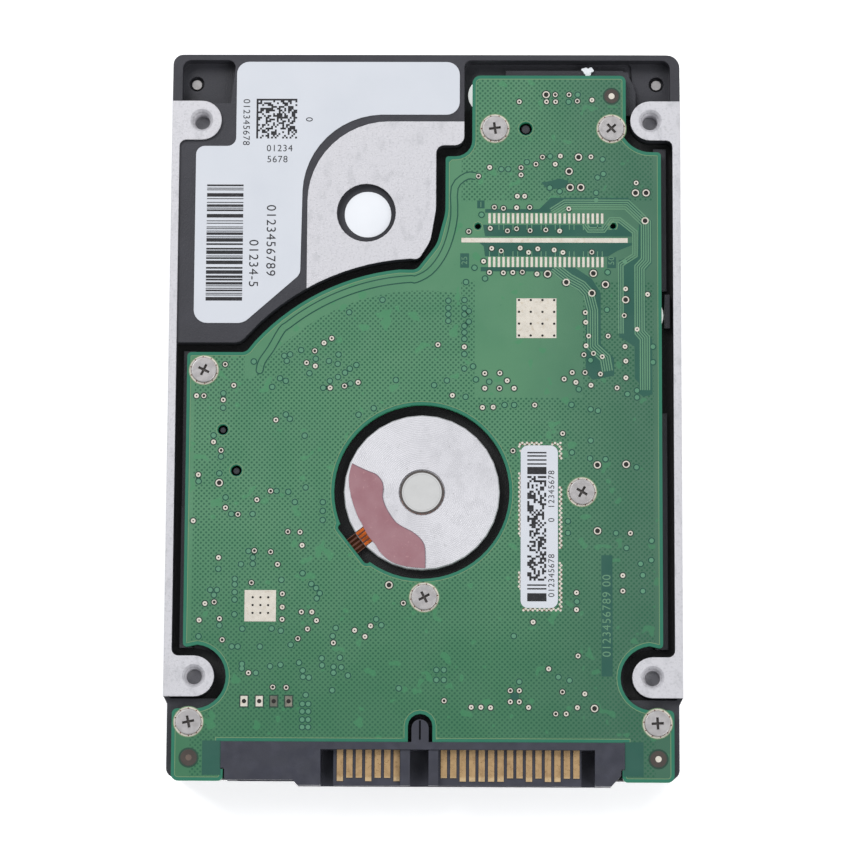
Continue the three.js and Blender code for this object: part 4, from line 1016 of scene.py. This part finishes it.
def tracks():
    """Signal tracks: one wide one, and bundles of pale lines over the darker fields."""
    wide = [(6.9, 32.7), (5.6, 32.7), (4.0, 31.1), (3.95, 27.2), (3.3, 23.9), (2.2, 21.3), (0.6, 19.3),
            (-1.2, 18.3)] + arc_path(29.35, 93, 131) + [(-21.0, 8.6), (-22.2, 6.8), (-22.5, 5.6)]
    wide = smooth(wide, 3)
    end = wide[-1]
    on_board("wide_track_gaps", stroke(wide, 1.1) + [circle(end, 0.55)], GAP, VIA_GREEN)
    on_board("wide_track", stroke(wide, 0.78) + [circle(end, 0.39)], TRACK, WHOLE_GREEN)
    lines = bundle([(17.4, 27.6), (19.2, 28.75), (27.6, 28.75), (30.2, 26.2), (30.2, 21.0), (29.3, 20.0),
                    (29.3, 11.0), (30.0, 10.2), (30.0, 3.0)], 5, 0.31)
    lines += bundle([(21.8, 26.0), (22.4, 25.2), (24.4, 25.2), (25.4, 26.6), (26.6, 26.6), (28.7, 24.9),
                     (28.7, 21.7), (26.75, 20.4), (26.75, 10.8)], 3, 0.3)
    lines += bundle([(17.6, 20.0), (19.6, 18.4), (21.4, 17.4), (22.3, 16.4), (22.9, 14.0), (22.9, 9.0),
                     (24.6, 7.4), (24.9, 5.6)], 5, 0.33)
    pale = []
    for line in lines:
        pale += stroke(line, 0.17)
    on_board("tracks", pale, TRACK, TRACK_GREEN)
    stubs = []
    for k in range(HEAD_PADS["count"]):
        x = HEAD_PADS["first"] + k * HEAD_PADS["pitch"]
        if k % 3 != 1:
            stubs += stroke([(x, 26.1), (x, 25.2)], 0.12) + stroke([(x, 21.4), (x, 22.2)], 0.12)
    on_board("pad_stubs", stubs, TRACK, TRACK_GREEN)


def digits(name, text, place, height, turn, level, material, body="chassis"):
    """Plain numbers, printed flat."""
    drawn = bpy.data.curves.new(name, "FONT")
    drawn.body = text
    drawn.size = height / 0.72 * MM
    drawn.space_character = 1.12
    drawn.align_x, drawn.align_y = "CENTER", "CENTER"
    mesh = evaluated(placed(name + ".drawn", drawn))
    mesh.transform(Matrix.Rotation(math.radians(turn), 4, "Z"))
    mesh.transform(Matrix.Translation((place[0] * MM, place[1] * MM, level * MM)))
    coat(mesh, material)
    printed = placed(name, mesh)
    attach(printed, body)
    return printed


def board_marks():
    level = BOARD_TOP + TRACK
    digits("board_number", "0123456789 00", (24.75, -27.8), 1.15, 90, level, TRACK_GREEN)
    digits("row_mark_1", "1", (7.6, 28.7), 0.8, 0, level, TRACK_GREEN)
    digits("row_mark_2", "25", (5.4, 20.9), 0.8, 90, level, TRACK_GREEN)
    digits("row_mark_3", "50", (25.5, 20.9), 0.8, 90, level, TRACK_GREEN)


# ---- Labels -------------------------------------------------------------------------------------

INK_DEPTH = 0.008


def bars(x0, x1, y0, y1, thin=0.12, thick=0.5):
    """A made-up bar code: bars across x, stacked along y."""
    shapes, y = [], y0
    while y < y1 - thick:
        depth = random.choice([thin, thin, thin * 2, thick * 0.7, thick])
        shapes.append(rectangle(x0, x1, y, y + depth))
        y += depth + random.choice([thin, thin * 1.8, thick * 0.8])
    return shapes


def cells(x0, y0, columns, rows, size, finder=True):
    """A made-up square code: cells that are dark or not at random."""
    shapes = []
    for i in range(columns):
        for j in range(rows):
            edge = finder and (i == 0 or j == rows - 1)
            if edge or random.random() < 0.5:
                x, y = x0 + i * size, y0 + j * size
                shapes.append(rectangle(x, x + size * 1.02, y, y + size * 1.02))
    return shapes


def base_label_print():
    shapes = bars(-30.0, -25.0, 15.2, 32.3) + cells(-23.35, 37.9, 22, 22, 0.255)
    film("base_label_print", shapes, LABEL_TOP, INK_DEPTH, INK)
    level = LABEL_TOP + INK_DEPTH
    rows = [
        ("012345678", (-24.75, 40.2), 0.95, -90), ("01234", (-20.1, 36.5), 0.95, 0),
        ("5678", (-20.4, 34.95), 0.95, 0), ("0", (-16.1, 40.6), 0.95, -90),
        ("0123456789", (-21.2, 23.6), 1.3, -90), ("01234-5", (-23.55, 20.4), 1.3, -90),
    ]
    for n, (text, place, height, turn) in enumerate(rows):
        digits(f"base_label_number_{n + 1}", text, place, height, turn, level, INK)


def cover_label_print():
    """Made-up print on the cover's label, drawn as seen from below and then turned over."""
    low, high = low_high("cover_label")
    level = -low[2]
    left, far = -high[0], high[1]
    shapes = bars(left + 5, left + 11, low[1] + 6, low[1] + 40) + cells(left + 36, far - 15, 24, 24, 0.4)
    shapes += stroke([(left + 4, far - 19), (left + 48, far - 19)], 0.25)
    shapes += stroke([(left + 14, low[1] + 6), (left + 14, far - 22)], 0.25)
    printed = [film("cover_label_print", shapes, level, INK_DEPTH, INK)]
    rows = [("0123456789", -8.0, 3.2), ("01234-5", -13.5, 2.4), ("0 1 2 3 4 5 6 7 8 9", -25.0, 1.5),
            ("01234567", -29.0, 1.5), ("0123-4567-89", -33.0, 1.5)]
    for n, (text, drop, height) in enumerate(rows):
        place = (left + (18 if drop > -20 else 31), far + drop)
        name = f"cover_label_number_{n + 1}"
        printed.append(digits(name, text, place, height, 0, level + INK_DEPTH, INK))
    for made in printed:
        made.data.transform(Matrix.Rotation(math.pi, 4, "Y"))


def board_label_print():
    low, high = low_high("board_label")
    left, right = low[0] + 0.9, high[0] - 1.55
    shapes = [rectangle(left, right, y, y + 0.2) for y in (-5.75, -6.2, -6.75, -7.3)]
    shapes += [rectangle(left, right, -8.6, -7.6), rectangle(left, right, -25.9, -24.8)]
    shapes += cells(left, -23.1, 9, 50, 0.285, finder=False)
    shapes += [rectangle(left, right, y, y + 0.2) for y in (-23.8, -24.3)]
    film("board_label_print", shapes, high[2], INK_DEPTH, INK)
    level = high[2] + INK_DEPTH
    digits("board_label_number_1", "012345678", (high[0] - 0.85, -22.4), 0.85, 90, level, INK)
    second = (high[0] - 0.85, -11.6)
    digits("board_label_number_2", "0   12345678", second, 0.85, 90, level, INK)


# ---- Screws -------------------------------------------------------------------------------------


def turned(profile, sides):
    """The vertices of a profile of (radius, height) turned round the Z axis, ring by ring."""
    return [(x, y, height) for radius, height in profile for x, y in circle((0, 0), radius, sides)]


def lathe(profile, sides):
    """Vertices and faces of a turned profile, closed at both ends."""
    vertices, faces = turned(profile, sides), []
    for row in range(len(profile) - 1):
        for i in range(sides):
            a, b = row * sides, (row + 1) * sides
            j = (i + 1) % sides
            faces.append([a + i, a + j, b + j, b + i])
    faces.append(list(range(sides))[::-1])
    faces.append([(len(profile) - 1) * sides + i for i in range(sides)])
    return vertices, faces


THREAD = {"radius": 1.215, "depth": 0.17, "pitch": 0.5, "length": 2.4, "sides": 32}


def thread_sleeve():
    """The ridges inside a tapped hole, as a closed sleeve that hangs down from its mouth at the origin."""
    profile = [(THREAD["radius"], 0.0), (THREAD["radius"], -THREAD["length"])]
    turns = int(THREAD["length"] / THREAD["pitch"])
    crest = THREAD["radius"] - THREAD["depth"]
    for k in range(turns):
        low = -THREAD["length"] + k * THREAD["pitch"]
        profile += [(crest, low + 0.08), (crest, low + 0.16), (THREAD["radius"] - 0.015, low + 0.4)]
    sides = THREAD["sides"]
    vertices, faces = turned(profile, sides), []
    for row in range(len(profile)):
        below = (row + 1) % len(profile)
        for i in range(sides):
            j = (i + 1) % sides
            faces.append([row * sides + i, below * sides + i, below * sides + j, row * sides + j])
    return vertices, faces


def tapped_threads():
    """Threads in the four holes of the bosses and in the four holes of the sides."""
    sleeve, sides_of = thread_sleeve()
    vertices, faces = [], []
    for side in (-1, 1):
        for y in MOUNT_Y:
            places = [
                [(side * MOUNT_X + px, y + py, BOSS_TOP - 0.35 + pz) for px, py, pz in sleeve],
                [(side * (HALF_WIDTH - 0.12 + pz), y + side * px, BOSS_TOP - SIDE_DROP + py)
                 for px, py, pz in sleeve],
            ]
            for place in places:
                start = len(vertices)
                vertices += place
                faces += [[start + i for i in face] for face in sides_of]
    piece("tapped_threads", vertices, faces, TURNED)


def cross_cutter(top, depth):
    """Two crossed wedges, wider at the top, for a cross recess."""
    vertices, faces = [], []
    for turn in (0, 90):
        start = len(vertices)
        for z, length, width in ((top + 0.3, 1.02, 0.24), (top - depth, 0.66, 0.11)):
            for x, y in ((-length, -width), (length, -width), (length, width), (-length, width)):
                vertices.append((x, y, z) if turn == 0 else (-y, x, z))
        faces += [[start + 3, start + 2, start + 1, start], [start + 4, start + 5, start + 6, start + 7]]
        for i in range(4):
            j = (i + 1) % 4
            faces.append([start + i, start + j, start + 4 + j, start + 4 + i])
    return vertices, [face[::-1] for face in faces]


# How far the cross of each screw is turned, in degrees.
SCREW_TURNS = (8, 42, 64, 60, 28, 12, 3)


def board_screw_mesh():
    low = low_high("board_screw_1")[0][2]
    head = (low_high("board_screw_1")[1][0] - low_high("board_screw_1")[0][0]) / 2
    top = SCREW_TOP
    profile = [(0.62, low), (0.7, low + 0.1), (0.7, BOARD_TOP), (head, BOARD_TOP + 0.01),
               (head, top - 0.14), (head - 0.03, top - 0.06), (head - 0.1, top - 0.015),
               (head - 0.2, top), (head * 0.5, top)]
    body = mesh_object("screw_blank", *lathe(profile, 48))
    cutter = mesh_object("cross_cutter", *cross_cutter(top, 0.3))
    cut = body.modifiers.new("cross", "BOOLEAN")
    cut.object = cutter
    cut.operation = "DIFFERENCE"
    cut.solver = "EXACT"
    cut.use_self = True
    mesh = evaluated(body)
    bpy.data.objects.remove(cutter)
    return mesh


def board_screws():
    shared = board_screw_mesh()
    for n, ((x, y), turn) in enumerate(zip(BOARD_SCREWS, SCREW_TURNS)):
        mesh = shared.copy()
        mesh.transform(Matrix.Rotation(math.radians(turn), 4, "Z"))
        mesh.transform(Matrix.Translation((x * MM, y * MM, 0)))
        coat(mesh, SCREW)
        made = placed(f"cross_head_screw_{n + 1}", mesh)
        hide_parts(f"board_screw_{n + 1}")
        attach(made, "chassis")


# ---- Motor's flexible circuit and small white things ----------------------------------------------


# The way the motor's film leaves it, in degrees from +X.
FLEX_HEADING = 218.0


def motor_flex():
    """A crescent of film on the motor's face, and the tail that carries its four tracks to the board."""
    upper = smooth([(-9.8, -7.1), (-8.8, -7.6), (-7.57, -8.15), (-6.5, -8.6), (-5.75, -9.5), (-5.55, -10.4),
                    (-5.6, -11.8), (-5.0, -13.4), (-3.65, -15.24), (-1.53, -16.45), (-0.34, -17.5),
                    (0.15, -18.7), (0.2, -21.3)])
    lower = smooth([(0.2, -21.35), (-1.84, -21.2), (-3.6, -20.8), (-4.8, -20.2), (-5.9, -19.2), (-6.6, -18.1),
                    (-7.4, -17.2), (-8.1, -16.0), (-8.4, -15.3), (-8.9, -14.5), (-9.4, -13.2), (-9.85, -11.8),
                    (-10.2, -9.8), (-10.1, -8.2), (-9.8, -7.1)])
    made = film("motor_flex_film", [upper + lower[:-1]], MOTOR_FACE, 0.1, FLEX)
    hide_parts("motor_flex")
    film("motor_flex_edge", stroke(upper, 0.1), MOTOR_FACE + 0.1, 0.008, FILM_EDGE)
    out = Vector(polar((0, 0), 1, FLEX_HEADING))
    side = Vector((-out.y, out.x))
    centre = Vector(MOTOR)
    rim = MOTOR_RADIUS - 0.1
    # Beyond the motor's rim the tail lies lower, and its tracks are painted shade: dark brown foil, for the
    # shade in the gap.
    for name, start, end, level, backing, foil in (
            ("tail", 8.9, rim, MOTOR_FACE, TAIL_FILM, COPPER_FOIL),
            ("tail_end", rim, 12.9, MOTOR_FACE - 0.55, TAIL_FILM, DARK_FOIL)):
        strip = [centre + out * start + side * 1.2, centre + out * start - side * 1.2,
                 centre + out * end - side * 1.2, centre + out * end + side * 1.2]
        film(f"motor_flex_{name}", [[tuple(corner) for corner in strip]], level, 0.03, backing)
        lines = []
        for k in range(4):
            line = [centre + out * reach + side * (0.6 * (k - 1.5)) for reach in (start, end)]
            lines += stroke([tuple(point) for point in line], 0.36)
        film(f"motor_flex_{name}_tracks", lines, level + 0.03, 0.012, foil)
    cap = low_high("motor_end_cap")[1][2]
    film("end_cap_bevel", ring(MOTOR, 2.7, 2.98, 48), cap, 0.01, GROOVE)
    film("end_cap_lip", ring(MOTOR, 2.45, 2.53, 48), cap, 0.006, CAP_EDGE)


LEDGE_TOP = 7.9
DAB = (22.3, 47.7)
DAB_SIDES = 28


def paint_dab():
    """A dab of white paint at the far edge of the board's pocket."""
    blob = []
    for k in range(DAB_SIDES):
        a = 2 * math.pi * k / DAB_SIDES
        x, y = polar(DAB, 0.62 + 0.16 * math.sin(3 * a) + 0.08 * math.sin(7 * a + 1), math.degrees(a))
        blob.append((DAB[0] + (x - DAB[0]) * 1.15, y))
    film("white_dab", [blob], LEDGE_TOP, 0.35, SEAL)


finish_the_frame()
camera()
studio()
board_copper()
routed_fields()
tracks()
plated_holes()
fiducials()
screw_lands()
bare_pads()
label_land()
board_marks()
base_label_print()
board_label_print()
cover_label_print()
board_screws()
motor_flex()
tapped_threads()
paint_dab()
